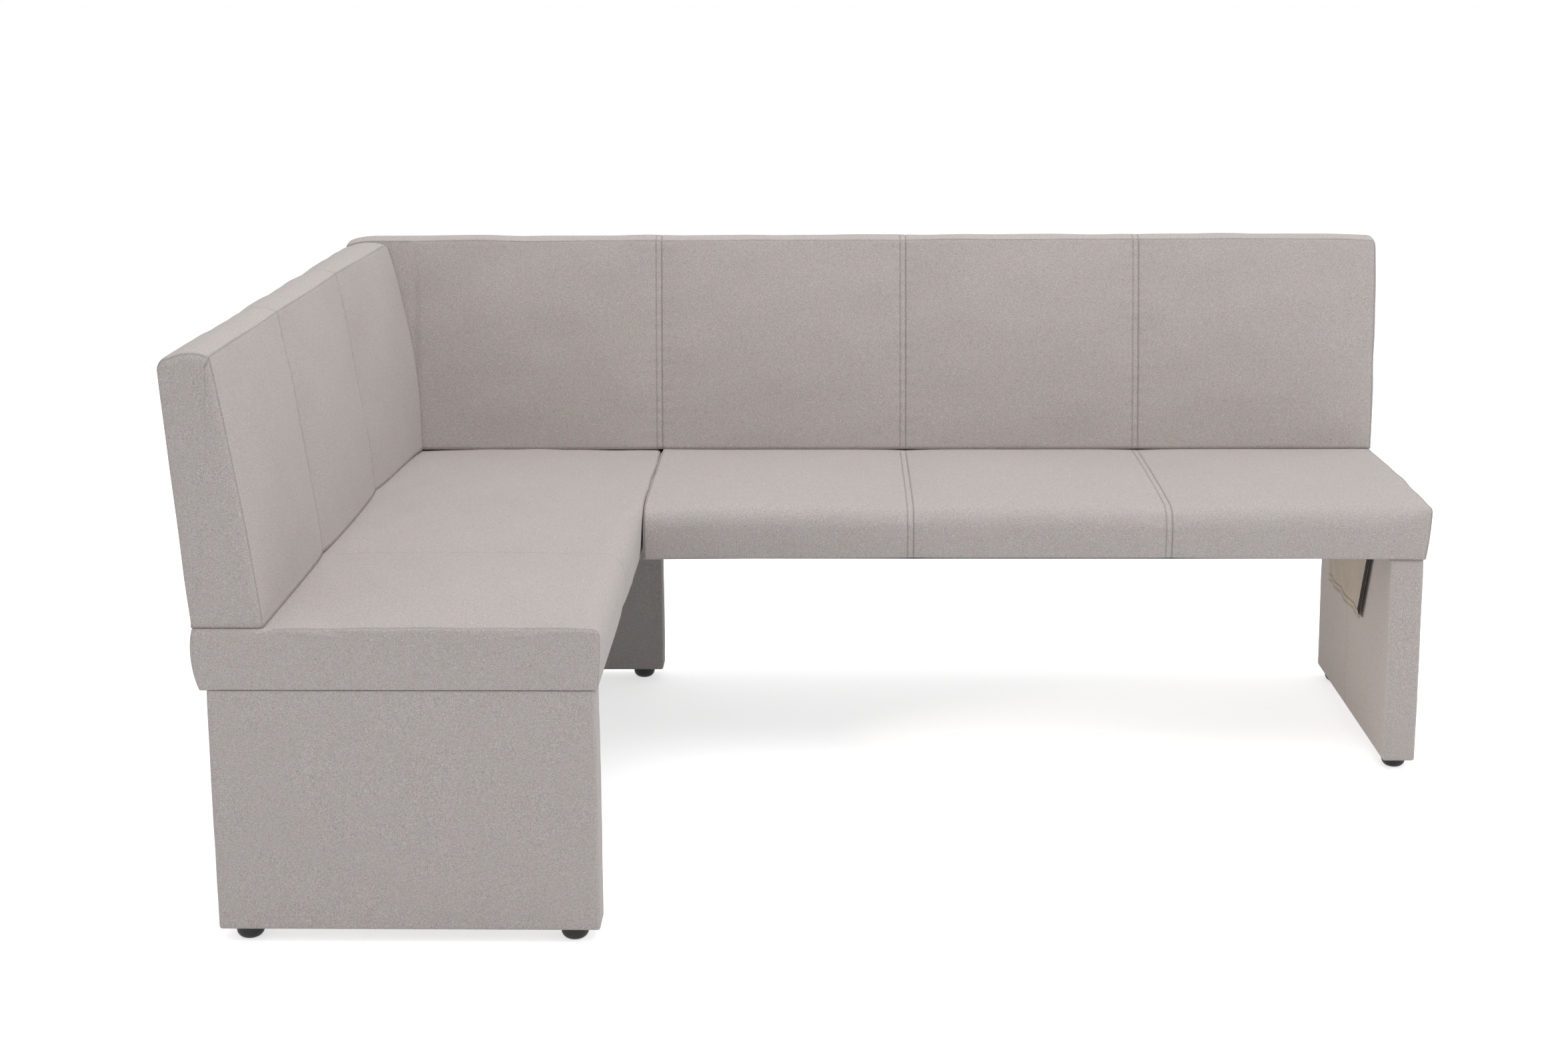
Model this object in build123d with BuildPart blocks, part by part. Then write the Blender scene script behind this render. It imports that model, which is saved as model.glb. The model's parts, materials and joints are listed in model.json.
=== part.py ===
"""Upholstered corner bench: two seats, two backrests, three padded leg panels and their inner frames."""
import os
from math import atan2, cos, hypot, sin, sqrt, tan

from build123d import *

# Overall size
overall_length = 2000.0
overall_depth = 1348.0
overall_height = 888.0

# Seats
seat_height = 483.0
seat_underside = 390.0
seat_depth = 594.0
seat_end_inset = 8.0
seat_joint_gap = 0.3
seat_rear_draw = 9.0
seat_rear_top_draw = 5.0
seat_front_draw = 6.0
seat_front_radius = 36.0
seat_crown = 9.0
seat_flat_margin = 4.0

# Backrests
back_overhang = 24.0
back_rear_inset = 2.0
back_bottom_depth = 106.0
back_top_depth = 76.0
back_top_crown = 5.0
back_top_radius = 18.0
back_crown = 10.0
corner_gap = 0.4

# Sewn covers
cover_wall = 8.0
fit_gap = 0.3
hem_thickness = 1.5
seat_hem_width = 30.0
back_hem_width = 12.0
channel_depth = 4.0
edge_crown = 3.0
inner_crown = 2.0
end_rounding = 12.0
end_drop = 6.0
long_panel_width = 450.0
short_panel_width = 435.0

# Seat frames
rail_height = 40.0
front_rail_width = 28.0
leg_rail_width = 60.0
joint_rail_width = 30.0
cross_rail_width = 34.0
lining_thickness = 1.0
lining_inset = 14.0

# Springs, felt and foam
wire_diameter = 3.8
spring_pitch = 26.0
spring_bar = 30.0
spring_spacing = 118.0
clip_length = 18.0
clip_base = 16.0
clip_thickness = 1.0
felt_thickness = 2.0

# Back frames
post_thickness = 28.0
post_width = 40.0
back_rail_height = 40.0
back_board_thickness = 3.0

# Back brackets and their screws
bracket_width = 30.0
bracket_thickness = 4.0
bracket_reach = 150.0
bracket_slot_gap = 1.0
bracket_foot_gap = 4.0
screw_diameter = 4.0
screw_depth = 16.0
screw_head_diameter = 8.0
screw_head_height = 2.4
screw_fit = 0.1
screw_hole_gap = 0.3
screw_spacing = 20.0
upper_screw_height = 70.0
upper_screw_spacing = 50.0

# Leg panels
leg_width = 565.0
leg_thickness = 56.0
leg_rear_inset = 20.0
short_leg_inset = 7.0
long_leg_inset = 11.0
leg_wall = 5.0
leg_edge_radius = 6.0
leg_board_thickness = 8.0
leg_stile_width = 45.0
leg_rail_height = 60.0

# Glides
glide_height = 20.0
glide_diameter = 41.0
glide_flat_diameter = 24.0
glide_shoulder = 5.0
glide_inset = 40.0
glide_screw_length = 34.0
glide_head_recess = 6.0

# Leg bolts and seat connector bolts
bolt_diameter = 8.0
bolt_hole_gap = 0.3
bolt_head_width = 13.0
bolt_head_height = 5.3
washer_diameter = 16.0
washer_thickness = 1.6
bolt_recess_depth = 9.0
bolt_recess_gap = 1.0
bolt_spread = 150.0
connector_spread = 180.0
insert_diameter = 12.0
insert_length = 22.0
bolt_reach = 30.0
nut_height = 6.5
connector_tail = 3.0

# Access flap
flap_leg_gap = 8.0
flap_thickness = 1.2
flap_drop = 160.0
flap_top_start = 94.0
flap_top_width = 378.0
flap_bottom_start = 137.0
flap_bottom_width = 254.0
flap_margin = 18.0
flap_folds = 5
flap_top_fold = 0.4
flap_bottom_fold = 4.5
flap_bead_radius = 1.6
flap_header_width = 8.0
tape_width = 14.0
tape_thickness = 1.2
tape_end_gap = 4.0
tape_edge_gap = 1.0
tape_clearance = 0.4

# Places of the seats, in the frame of the whole bench
x_seat_rear = -overall_length / 2 + back_overhang
y_seat_rear = overall_depth / 2 - back_overhang
x_short_front = x_seat_rear + seat_depth
x_long_end = overall_length / 2 - seat_end_inset
short_seat_length = y_seat_rear + overall_depth / 2
long_seat_length = x_long_end - x_short_front - seat_joint_gap
back_front = back_rear_inset + back_bottom_depth
seat_flat = back_front + seat_flat_margin
top_seam = overall_height - back_top_crown
back_base = seat_height + fit_gap

# Planes across each seat: x from the wall to the front, y up, z along the seat
short_plane = Plane((x_seat_rear, y_seat_rear, 0), x_dir=(1, 0, 0), z_dir=(0, -1, 0))
long_plane = Plane((x_long_end, y_seat_rear, 0), x_dir=(0, -1, 0), z_dir=(-1, 0, 0))

# Heights inside a seat
rail_bottom = seat_underside + hem_thickness
rail_top = rail_bottom + rail_height
wire_radius = wire_diameter / 2
wire_height = rail_top + clip_thickness + fit_gap + wire_radius
felt_bottom = wire_height + wire_radius + fit_gap + clip_thickness + fit_gap
foam_bottom = felt_bottom + felt_thickness
lining_bottom = seat_underside - lining_thickness

# Lean of the backs and the plane of their brackets
back_lean = atan2(back_overhang + back_rear_inset, top_seam - back_top_radius - seat_height)
frame_rear = back_rear_inset + cover_wall + fit_gap / cos(back_lean)
bracket_face = frame_rear + post_thickness / cos(back_lean)
rail_rear = seat_rear_draw + cover_wall + fit_gap
rail_front = seat_depth - seat_front_draw - cover_wall - fit_gap
back_frame_bottom = (hem_thickness + 2 * fit_gap) / cos(back_lean)
back_frame_top = (top_seam - cover_wall - back_top_radius - seat_height) / cos(back_lean)


def block(plane, across, up, along):
    """Straight block in a plane's own directions, each given as a first and a last value."""
    with BuildPart() as body:
        with BuildSketch(plane.offset(along[0])):
            with Locations(((across[0] + across[1]) / 2, (up[0] + up[1]) / 2)):
                Rectangle(across[1] - across[0], up[1] - up[0])
        extrude(amount=along[1] - along[0])
    return body.part


def pegs(planes, diameter, first, last):
    """Round pegs along the z direction of each plane, for shanks and drilled holes."""
    with BuildPart() as body:
        for plane in planes:
            with BuildSketch(plane.offset(first)):
                Circle(diameter / 2)
            extrude(amount=last - first)
    return body.part


def seat_outline(inset, crown, bottom=seat_underside):
    """Outline across a seat: flat under the backrest, crowned, rounded in front and drawn in below."""
    top = seat_height - inset
    front = seat_depth - inset
    middle = (seat_flat + front - seat_front_radius) / 2
    bend = (front - seat_front_radius, top + crown / 3)
    bend_height = bend[1] - seat_front_radius
    bend_reach = seat_front_radius * sqrt(0.5)
    with BuildSketch() as outline:
        with BuildLine():
            Line((front - seat_front_draw, bottom), (inset + seat_rear_draw, bottom))
            ThreePointArc(
                (inset + seat_rear_draw, bottom),
                (inset, (bottom + top) / 2),
                (inset + seat_rear_top_draw, top),
            )
            Line((inset + seat_rear_top_draw, top), (seat_flat, top))
            ThreePointArc((seat_flat, top), (middle, top + crown), bend)
            ThreePointArc(bend, (bend[0] + bend_reach, bend_height + bend_reach), (front, bend_height))
            ThreePointArc(
                (front, bend_height),
                (front - seat_front_draw / 4, (bend_height + bottom) / 2),
                (front - seat_front_draw, bottom),
            )
        make_face()
    return outline.sketch


def back_outline(inset, crown, bottom=back_base):
    """Outline across a backrest: a wedge with a crowned front, a rounded top and a leaning rear."""
    rear_top = -back_overhang + inset
    front_foot = back_front - inset
    front_top = back_top_depth - back_overhang - inset
    seam = top_seam - inset
    slope = hypot(front_foot - front_top, seam - bottom)
    bulge_across = crown * (seam - bottom) / slope
    bulge_up = crown * (front_foot - front_top) / slope
    round_centre = (rear_top + back_top_radius, seam - back_top_radius)
    round_reach = back_top_radius * sqrt(0.5)
    with BuildSketch() as outline:
        with BuildLine():
            Line((back_rear_inset + inset, bottom), (front_foot, bottom))
            ThreePointArc(
                (front_foot, bottom),
                ((front_foot + front_top) / 2 + bulge_across, (bottom + seam) / 2 + bulge_up),
                (front_top, seam),
            )
            ThreePointArc(
                (front_top, seam),
                ((front_top + round_centre[0]) / 2, seam + back_top_crown),
                (round_centre[0], seam),
            )
            ThreePointArc(
                (round_centre[0], seam),
                (round_centre[0] - round_reach, round_centre[1] + round_reach),
                (rear_top, round_centre[1]),
            )
            Line((rear_top, round_centre[1]), (back_rear_inset + inset, bottom))
        make_face()
    return outline.sketch


def rounded_end(start, direction, sink=0):
    """Three places where a cushion rounds over at its end, from the end face inwards."""
    return [
        (start, sink + end_drop, edge_crown),
        (start + direction * end_rounding / 2, sink + end_drop / 4, edge_crown),
        (start + direction * end_rounding, sink, edge_crown),
    ]


def crowned_panels(edges, insets, crown):
    """Middle and far edge of each panel between the edges, which are sunk by their insets."""
    places = []
    for index in range(1, len(edges)):
        first, last = edges[index - 1:index + 1]
        level = abs(insets[index] - insets[index - 1]) / 4
        places.append(((first + last) / 2, level, crown))
        places.append((last, insets[index], edge_crown))
    return places


def cushion(outline, plane, places):
    """Cushion body lofted through its outline at every place, three places to a stretch."""
    with BuildPart() as body:
        for first in range(0, len(places) - 2, 2):
            for along, inset, crown in places[first:first + 3]:
                with BuildSketch(plane.offset(along)):
                    add(outline(inset, crown))
            loft()
    return body.part


def prism(outline, plane, first, last):
    """Straight length of an outline, for cavities and foam."""
    with BuildPart() as body:
        with BuildSketch(plane.offset(first)):
            add(outline)
        extrude(amount=last - first)
    return body.part


def finish(part, name):
    """Name a piece and write it."""
    part.label = name
    export_step(part, f"parts/{name}.step")


os.makedirs("parts", exist_ok=True)

# Sewn seams, counted along each seat from its free end
long_seams = [long_panel_width, 2 * long_panel_width]
short_seams = [short_seat_length - 2 * short_panel_width, short_seat_length - short_panel_width]

# Springs stand in a row along each seat, and brackets and cross rails share the gaps between them
spring_total = rail_front - rail_rear - clip_base
spring_bars = int(spring_total // spring_pitch)
spring_start = rail_rear + (rail_front - rail_rear - spring_bars * spring_pitch) / 2


def spring_gaps(first, last):
    """Middles of the gaps between springs, from the first rail to the last."""
    count = max(4, round((last - first) / spring_spacing))
    pitch = (last - first) / count
    return [first + pitch * index for index in range(count + 1)]


seats = {
    "short": {
        "plane": short_plane,
        "length": short_seat_length,
        "seams": short_seams,
        "wall_end": seat_flat,
        "rails": (leg_rail_width, leg_rail_width),
    },
    "long": {
        "plane": long_plane,
        "length": long_seat_length,
        "seams": long_seams,
        "wall_end": None,
        "rails": (leg_rail_width, joint_rail_width),
    },
}
for seat in seats.values():
    seat["inner"] = (cover_wall + fit_gap, seat["length"] - cover_wall - fit_gap)
    seat["gaps"] = spring_gaps(seat["inner"][0] + seat["rails"][0], seat["inner"][1] - seat["rails"][1])
    inner_gaps = seat["gaps"][1:-1]
    seat["brackets"] = inner_gaps[1::3]
    seat["crossings"] = inner_gaps[2::3]

# Leg panels: x across the panel, y through it, z up
leg_top = lining_bottom
leg_core = (leg_wall + fit_gap, leg_thickness - leg_wall - fit_gap)
leg_planes = {
    "front": Plane(
        (x_seat_rear + leg_rear_inset, y_seat_rear - short_seat_length + short_leg_inset, 0),
        x_dir=(1, 0, 0),
        z_dir=(0, 0, 1),
    ),
    "corner": Plane(
        (x_seat_rear + leg_rear_inset, y_seat_rear - short_leg_inset - leg_thickness, 0),
        x_dir=(1, 0, 0),
        z_dir=(0, 0, 1),
    ),
    "end": Plane(
        (x_long_end - long_leg_inset, y_seat_rear - leg_rear_inset - leg_width, 0),
        x_dir=(0, 1, 0),
        z_dir=(0, 0, 1),
    ),
}


def leg_points(plane, offsets, height):
    """Upright planes on the middle line of a leg panel, at a height above the floor."""
    return [
        Plane(plane.from_local_coords((offset, leg_thickness / 2, height)), x_dir=plane.x_dir, z_dir=(0, 0, 1))
        for offset in offsets
    ]


bolt_offsets = (leg_width / 2 - bolt_spread, leg_width / 2 + bolt_spread)
glide_offsets = (glide_inset, leg_width - glide_inset)
short_bolts = leg_points(leg_planes["front"], bolt_offsets, 0) + leg_points(leg_planes["corner"], bolt_offsets, 0)
seats["short"]["bolts"] = short_bolts
seats["long"]["bolts"] = leg_points(leg_planes["end"], bolt_offsets, 0)
all_bolts = seats["short"]["bolts"] + seats["long"]["bolts"]
bolt_hole = bolt_diameter + 2 * bolt_hole_gap

# Connector bolts run along the long seat, through both covers, into the short seat's front rail
connector_height = (rail_bottom + rail_top) / 2
connector_head = long_seat_length - cover_wall - fit_gap - joint_rail_width
connector_run = x_long_end - connector_head - (x_seat_rear + rail_front - front_rail_width)
connector_bolts = [
    Plane(long_plane.from_local_coords((seat_depth / 2 + offset, connector_height, connector_head)), z_dir=(-1, 0, 0))
    for offset in (-connector_spread, connector_spread)
]
connector_holes = pegs(connector_bolts, bolt_hole, -1, connector_run + 1)


def bracket_planes(seat):
    """Planes of one seat's bracket screws: two in the seat rail and two in the post at each bracket."""
    plane = seat["plane"]
    lean = seat["lean"]
    lower = []
    upper = []
    for along in seat["brackets"]:
        for shift in (-1, 1):
            height = connector_height + shift * screw_spacing / 2
            face = plane.from_local_coords((bracket_face + bracket_thickness, height, along))
            lower.append(Plane(face, z_dir=plane.x_dir))
            height = upper_screw_height + (shift + 1) / 2 * upper_screw_spacing
            face = lean.from_local_coords((post_thickness + bracket_thickness, height, along))
            upper.append(Plane(face, z_dir=lean.x_dir))
    return lower, upper


for seat in seats.values():
    plane = seat["plane"]
    seat["lean"] = Plane(
        plane.from_local_coords((frame_rear, seat_height, 0)),
        x_dir=plane.x_dir * cos(back_lean) + plane.y_dir * sin(back_lean),
        z_dir=plane.z_dir,
    )
    seat["lower_screws"], seat["upper_screws"] = bracket_planes(seat)

pilot = screw_diameter + 2 * screw_fit
screw_hole = screw_diameter + 2 * screw_hole_gap

# Seat pieces, one set for each seat
for name, seat in seats.items():
    plane = seat["plane"]
    length = seat["length"]
    inner_first, inner_last = seat["inner"]
    rails = seat["rails"]

    # Where the long backrest stands across the short seat, the top stays low and level
    places = rounded_end(0, 1, edge_crown if seat["wall_end"] else 0)
    if seat["wall_end"]:
        places.append(((end_rounding + seat["wall_end"]) / 2, edge_crown, edge_crown))
        places.append((seat["wall_end"], edge_crown, edge_crown))
    edges = [places[-1][0], *seat["seams"], length - end_rounding]
    insets = [places[-1][1], channel_depth, channel_depth, 0]
    places += crowned_panels(edges, insets, seat_crown)
    places += rounded_end(length, -1)[1::-1]

    cavity = prism(seat_outline(cover_wall, inner_crown, rail_bottom), plane, cover_wall, length - cover_wall)
    mouth = block(
        plane,
        (seat_hem_width, seat_depth - seat_hem_width),
        (seat_underside - 1, rail_bottom + 1),
        (seat_hem_width, length - seat_hem_width),
    )
    bracket_slot = (bracket_face - bracket_slot_gap, bracket_face + bracket_thickness + bracket_slot_gap)
    slots = [
        block(
            plane,
            bracket_slot,
            (felt_bottom - 1, seat_height + 1),
            (along - bracket_width / 2 - bracket_slot_gap, along + bracket_width / 2 + bracket_slot_gap),
        )
        for along in seat["brackets"]
    ]

    with BuildPart() as seat_cover:
        add(cushion(seat_outline, plane, places))
        add(cavity, mode=Mode.SUBTRACT)
        add(mouth, mode=Mode.SUBTRACT)
        add(slots, mode=Mode.SUBTRACT)
        add(pegs(seat["bolts"], bolt_hole, seat_underside - 1, rail_bottom + 1), mode=Mode.SUBTRACT)
        add(connector_holes, mode=Mode.SUBTRACT)
    finish(seat_cover.part, f"{name}_seat_cover")

    with BuildPart() as seat_foam:
        with BuildSketch(plane.offset(inner_first)):
            add(seat_outline(cover_wall + fit_gap, inner_crown, rail_bottom))
            with Locations((seat_depth / 2, (rail_bottom + foam_bottom) / 2)):
                Rectangle(2 * seat_depth, foam_bottom - rail_bottom, mode=Mode.SUBTRACT)
        extrude(amount=inner_last - inner_first)
        add(slots, mode=Mode.SUBTRACT)
    finish(seat_foam.part, f"{name}_seat_foam")

    with BuildPart() as seat_felt:
        add(block(plane, (rail_rear, rail_front), (felt_bottom, foam_bottom), (inner_first, inner_last)))
        add(slots, mode=Mode.SUBTRACT)
    finish(seat_felt.part, f"{name}_seat_felt")

    with BuildPart() as side_rails:
        add(block(plane, (rail_rear, bracket_face), (rail_bottom, rail_top), (inner_first, inner_last)))
        front_rail = (rail_front - front_rail_width, rail_front)
        add(block(plane, front_rail, (rail_bottom, rail_top), (inner_first, inner_last)))
        add(pegs(seat["lower_screws"], pilot, -bracket_thickness - screw_depth - 1, 0), mode=Mode.SUBTRACT)
        add(connector_holes, mode=Mode.SUBTRACT)
    finish(side_rails.part, f"{name}_seat_side_rails")

    between_rails = (bracket_face, rail_front - front_rail_width)
    with BuildPart() as end_rails:
        add(block(plane, between_rails, (rail_bottom, rail_top), (inner_first, inner_first + rails[0])))
        add(block(plane, between_rails, (rail_bottom, rail_top), (inner_last - rails[1], inner_last)))
        add(pegs(seat["bolts"], bolt_hole, rail_bottom - 1, rail_top), mode=Mode.SUBTRACT)
        recess = washer_diameter + 2 * bolt_recess_gap
        add(pegs(seat["bolts"], recess, rail_top - bolt_recess_depth, rail_top + 1), mode=Mode.SUBTRACT)
        add(connector_holes, mode=Mode.SUBTRACT)
    finish(end_rails.part, f"{name}_seat_end_rails")

    with BuildPart() as cross_rails:
        for along in seat["crossings"]:
            width = (along - cross_rail_width / 2, along + cross_rail_width / 2)
            add(block(plane, between_rails, (rail_bottom, rail_top), width))
    finish(cross_rails.part, f"{name}_seat_cross_rails")

    # One zigzag spring: straight bars joined by half turns, alternately on either side
    wire_plane = Plane(
        plane.from_local_coords((spring_start, wire_height, 0)), x_dir=plane.x_dir, z_dir=(0, 0, 1)
    )
    bars = [(index * spring_pitch, 1 if index % 2 else -1) for index in range(spring_bars + 1)]
    with BuildPart() as spring:
        with BuildLine(wire_plane):
            for place, side in bars:
                Line((place, -side * spring_bar / 2), (place, side * spring_bar / 2))
            for place, side in bars[:-1]:
                turn_top = side * (spring_bar + spring_pitch) / 2
                ThreePointArc(
                    (place, side * spring_bar / 2),
                    (place + spring_pitch / 2, turn_top),
                    (place + spring_pitch, side * spring_bar / 2),
                )
        start = wire_plane.from_local_coords((0, spring_bar / 2, 0))
        with BuildSketch(Plane(start, z_dir=wire_plane.y_dir)):
            Circle(wire_radius)
        sweep()

    spring_places = [(first + last) / 2 for first, last in zip(seat["gaps"], seat["gaps"][1:])]
    with BuildPart() as springs:
        for along in spring_places:
            add(spring.part.moved(Location(plane.z_dir * along)))
    finish(springs.part, f"{name}_seat_springs")

    # Spring clips: a strip nailed to the rail and rolled round the end bar of each spring
    with BuildPart() as clips:
        for along in spring_places:
            for end in (spring_start, spring_start + spring_bars * spring_pitch):
                with BuildSketch(plane.offset(along - clip_length / 2)):
                    with Locations((end, rail_top + clip_thickness / 2)):
                        Rectangle(clip_base, clip_thickness)
                    with Locations((end, wire_height)):
                        Circle(wire_radius + fit_gap + clip_thickness)
                        Circle(wire_radius + fit_gap, mode=Mode.SUBTRACT)
                extrude(amount=clip_length)
    finish(clips.part, f"{name}_seat_spring_clips")

# Linings under the seats; the flap folds up against the long one
hinge_along = long_leg_inset + leg_thickness + flap_leg_gap
for name, seat in seats.items():
    plane = seat["plane"]
    length = seat["length"]
    with BuildPart() as lining:
        add(
            block(
                plane,
                (lining_inset, seat_depth - lining_inset),
                (lining_bottom, seat_underside),
                (lining_inset, length - lining_inset),
            )
        )
        add(pegs(seat["bolts"], bolt_hole, lining_bottom - 1, seat_underside + 1), mode=Mode.SUBTRACT)
    finish(lining.part, f"{name}_seat_lining")

# The short back ends on a slanted face that follows the front of the long back
back_front_top = back_top_depth - back_overhang
back_rise = top_seam - back_base
corner_slope = hypot(back_front - back_front_top, back_rise) / back_rise
corner_face = Plane(
    short_plane.from_local_coords((0, back_base, back_front + edge_crown + corner_gap)),
    x_dir=short_plane.x_dir,
    z_dir=short_plane.z_dir * back_rise + short_plane.y_dir * (back_front - back_front_top),
)
short_frame_start = back_front + edge_crown + corner_gap + (cover_wall + fit_gap) * corner_slope

# The long back runs over both seats; behind the short back its front stays straight
long_back_start = -seat_end_inset
long_back_end = long_back_start + overall_length
long_back_flat = x_long_end - (x_seat_rear + back_front + back_crown)
long_back_seams = [*long_seams, long_seat_length]

backs = {
    "short": {
        "start": back_front_top,
        "end": short_seat_length,
        "frame": (short_frame_start, short_seat_length - cover_wall - fit_gap),
        "corner": corner_face,
    },
    "long": {
        "start": long_back_start,
        "end": long_back_end,
        "frame": (long_back_start + cover_wall + fit_gap, long_back_end - cover_wall - fit_gap),
        "corner": None,
    },
}
short_edges = [backs["short"]["start"], *short_seams, short_seat_length - end_rounding]
backs["short"]["places"] = [
    (short_edges[0], 0, edge_crown),
    *crowned_panels(short_edges, [0, channel_depth, channel_depth, 0], back_crown),
    *rounded_end(short_seat_length, -1)[1::-1],
]
long_edges = [long_back_start + end_rounding, *long_back_seams, long_back_flat]
backs["long"]["places"] = [
    *rounded_end(long_back_start, 1),
    *crowned_panels(long_edges, [0, channel_depth, channel_depth, channel_depth, 0], back_crown),
    ((long_back_flat + long_back_end - end_rounding) / 2, 0, edge_crown),
    (long_back_end - end_rounding, 0, edge_crown),
    *rounded_end(long_back_end, -1)[1::-1],
]

# Back pieces, one set for each backrest
board_face = post_thickness + back_board_thickness
for name, back in backs.items():
    seat = seats[name]
    plane = seat["plane"]
    lean = seat["lean"]
    frame_first, frame_last = back["frame"]
    hem_top = back_base + hem_thickness
    cavity_first = back["start"] if back["corner"] else back["start"] + cover_wall

    with BuildPart() as cavity:
        add(prism(back_outline(cover_wall, inner_crown, hem_top), plane, cavity_first, back["end"] - cover_wall))
        if back["corner"]:
            split(bisect_by=back["corner"].offset(cover_wall), keep=Keep.TOP)

    with BuildPart() as back_cover:
        add(cushion(back_outline, plane, back["places"]))
        if back["corner"]:
            split(bisect_by=back["corner"], keep=Keep.TOP)
        add(cavity.part, mode=Mode.SUBTRACT)
        hem_inset = cover_wall + back_hem_width
        add(
            block(
                plane,
                (back_rear_inset + hem_inset, back_front - hem_inset),
                (seat_height - 1, hem_top + 1),
                (frame_first + back_hem_width, frame_last - back_hem_width),
            ),
            mode=Mode.SUBTRACT,
        )
    finish(back_cover.part, f"{name}_back_cover")

    # Foam fills the cover in front of the frame and over its top, with room for the brackets
    with BuildPart() as back_foam:
        foam_outline = back_outline(cover_wall + fit_gap, inner_crown, hem_top + fit_gap)
        foam_first = cavity_first if back["corner"] else frame_first
        add(prism(foam_outline, plane, foam_first, frame_last))
        if back["corner"]:
            split(bisect_by=back["corner"].offset(cover_wall + fit_gap), keep=Keep.TOP)
        frame_room = (-back_overhang - back_bottom_depth, board_face + fit_gap)
        frame_reach = (-back_bottom_depth, back_frame_top + fit_gap)
        add(block(lean, frame_room, frame_reach, (back["start"] - 1, back["end"] + 1)), mode=Mode.SUBTRACT)
        for along in seat["brackets"]:
            pocket_half = bracket_width / 2 + bracket_slot_gap
            pocket_depth = post_thickness + bracket_thickness + screw_head_height + bracket_slot_gap
            add(
                block(
                    lean,
                    (post_thickness, pocket_depth),
                    (-bracket_slot_gap, bracket_reach + bracket_slot_gap),
                    (along - pocket_half, along + pocket_half),
                ),
                mode=Mode.SUBTRACT,
            )
    finish(back_foam.part, f"{name}_back_foam")

    with BuildPart() as back_rails:
        lower_rail = (back_frame_bottom, back_frame_bottom + back_rail_height)
        upper_rail = (back_frame_top - back_rail_height, back_frame_top)
        add(block(lean, (0, post_thickness), lower_rail, back["frame"]))
        add(block(lean, (0, post_thickness), upper_rail, back["frame"]))
    finish(back_rails.part, f"{name}_back_rails")

    post_middles = [
        frame_first + post_width / 2,
        *seat["brackets"],
        frame_last - post_width / 2,
    ]
    with BuildPart() as back_posts:
        for along in post_middles:
            width = (along - post_width / 2, along + post_width / 2)
            add(block(lean, (0, post_thickness), (lower_rail[1], upper_rail[0]), width))
        drill_depth = bracket_thickness + screw_depth + 1
        add(pegs(seat["upper_screws"], pilot, -drill_depth, 0), mode=Mode.SUBTRACT)
    finish(back_posts.part, f"{name}_back_posts")

    with BuildPart() as back_board:
        add(block(lean, (post_thickness, board_face), (back_frame_bottom, back_frame_top), back["frame"]))
        for along in seat["brackets"]:
            notch_half = bracket_width / 2 + bracket_slot_gap
            add(
                block(
                    lean,
                    (post_thickness - 1, board_face + 1),
                    (back_frame_bottom - 1, bracket_reach + bracket_slot_gap),
                    (along - notch_half, along + notch_half),
                ),
                mode=Mode.SUBTRACT,
            )
    finish(back_board.part, f"{name}_back_board")

    # Brackets: flat bars on the seat's rear rail, bent to follow the lean of the posts
    bar_top = (bracket_face - bracket_reach * sin(back_lean), seat_height + bracket_reach * cos(back_lean))
    bar_front = (bracket_thickness * cos(back_lean), bracket_thickness * sin(back_lean))
    bar_bend = seat_height + bracket_thickness * tan(back_lean / 2)
    with BuildPart() as back_brackets:
        for along in seat["brackets"]:
            with BuildSketch(plane.offset(along - bracket_width / 2)):
                with BuildLine():
                    Polyline(
                        (bracket_face, rail_bottom + bracket_foot_gap),
                        (bracket_face + bracket_thickness, rail_bottom + bracket_foot_gap),
                        (bracket_face + bracket_thickness, bar_bend),
                        (bar_top[0] + bar_front[0], bar_top[1] + bar_front[1]),
                        bar_top,
                        (bracket_face, seat_height),
                        close=True,
                    )
                make_face()
            extrude(amount=bracket_width)
        screw_planes = seat["lower_screws"] + seat["upper_screws"]
        add(pegs(screw_planes, screw_hole, -bracket_thickness - 1, 1), mode=Mode.SUBTRACT)
    finish(back_brackets.part, f"{name}_back_brackets")

bracket_screw_planes = []
for seat in seats.values():
    bracket_screw_planes += seat["lower_screws"] + seat["upper_screws"]
with BuildPart() as bracket_screws:
    add(pegs(bracket_screw_planes, screw_diameter, -bracket_thickness - screw_depth, 0))
    add(pegs(bracket_screw_planes, screw_head_diameter, 0, screw_head_height))
finish(bracket_screws.part, "bracket_screws")

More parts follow.
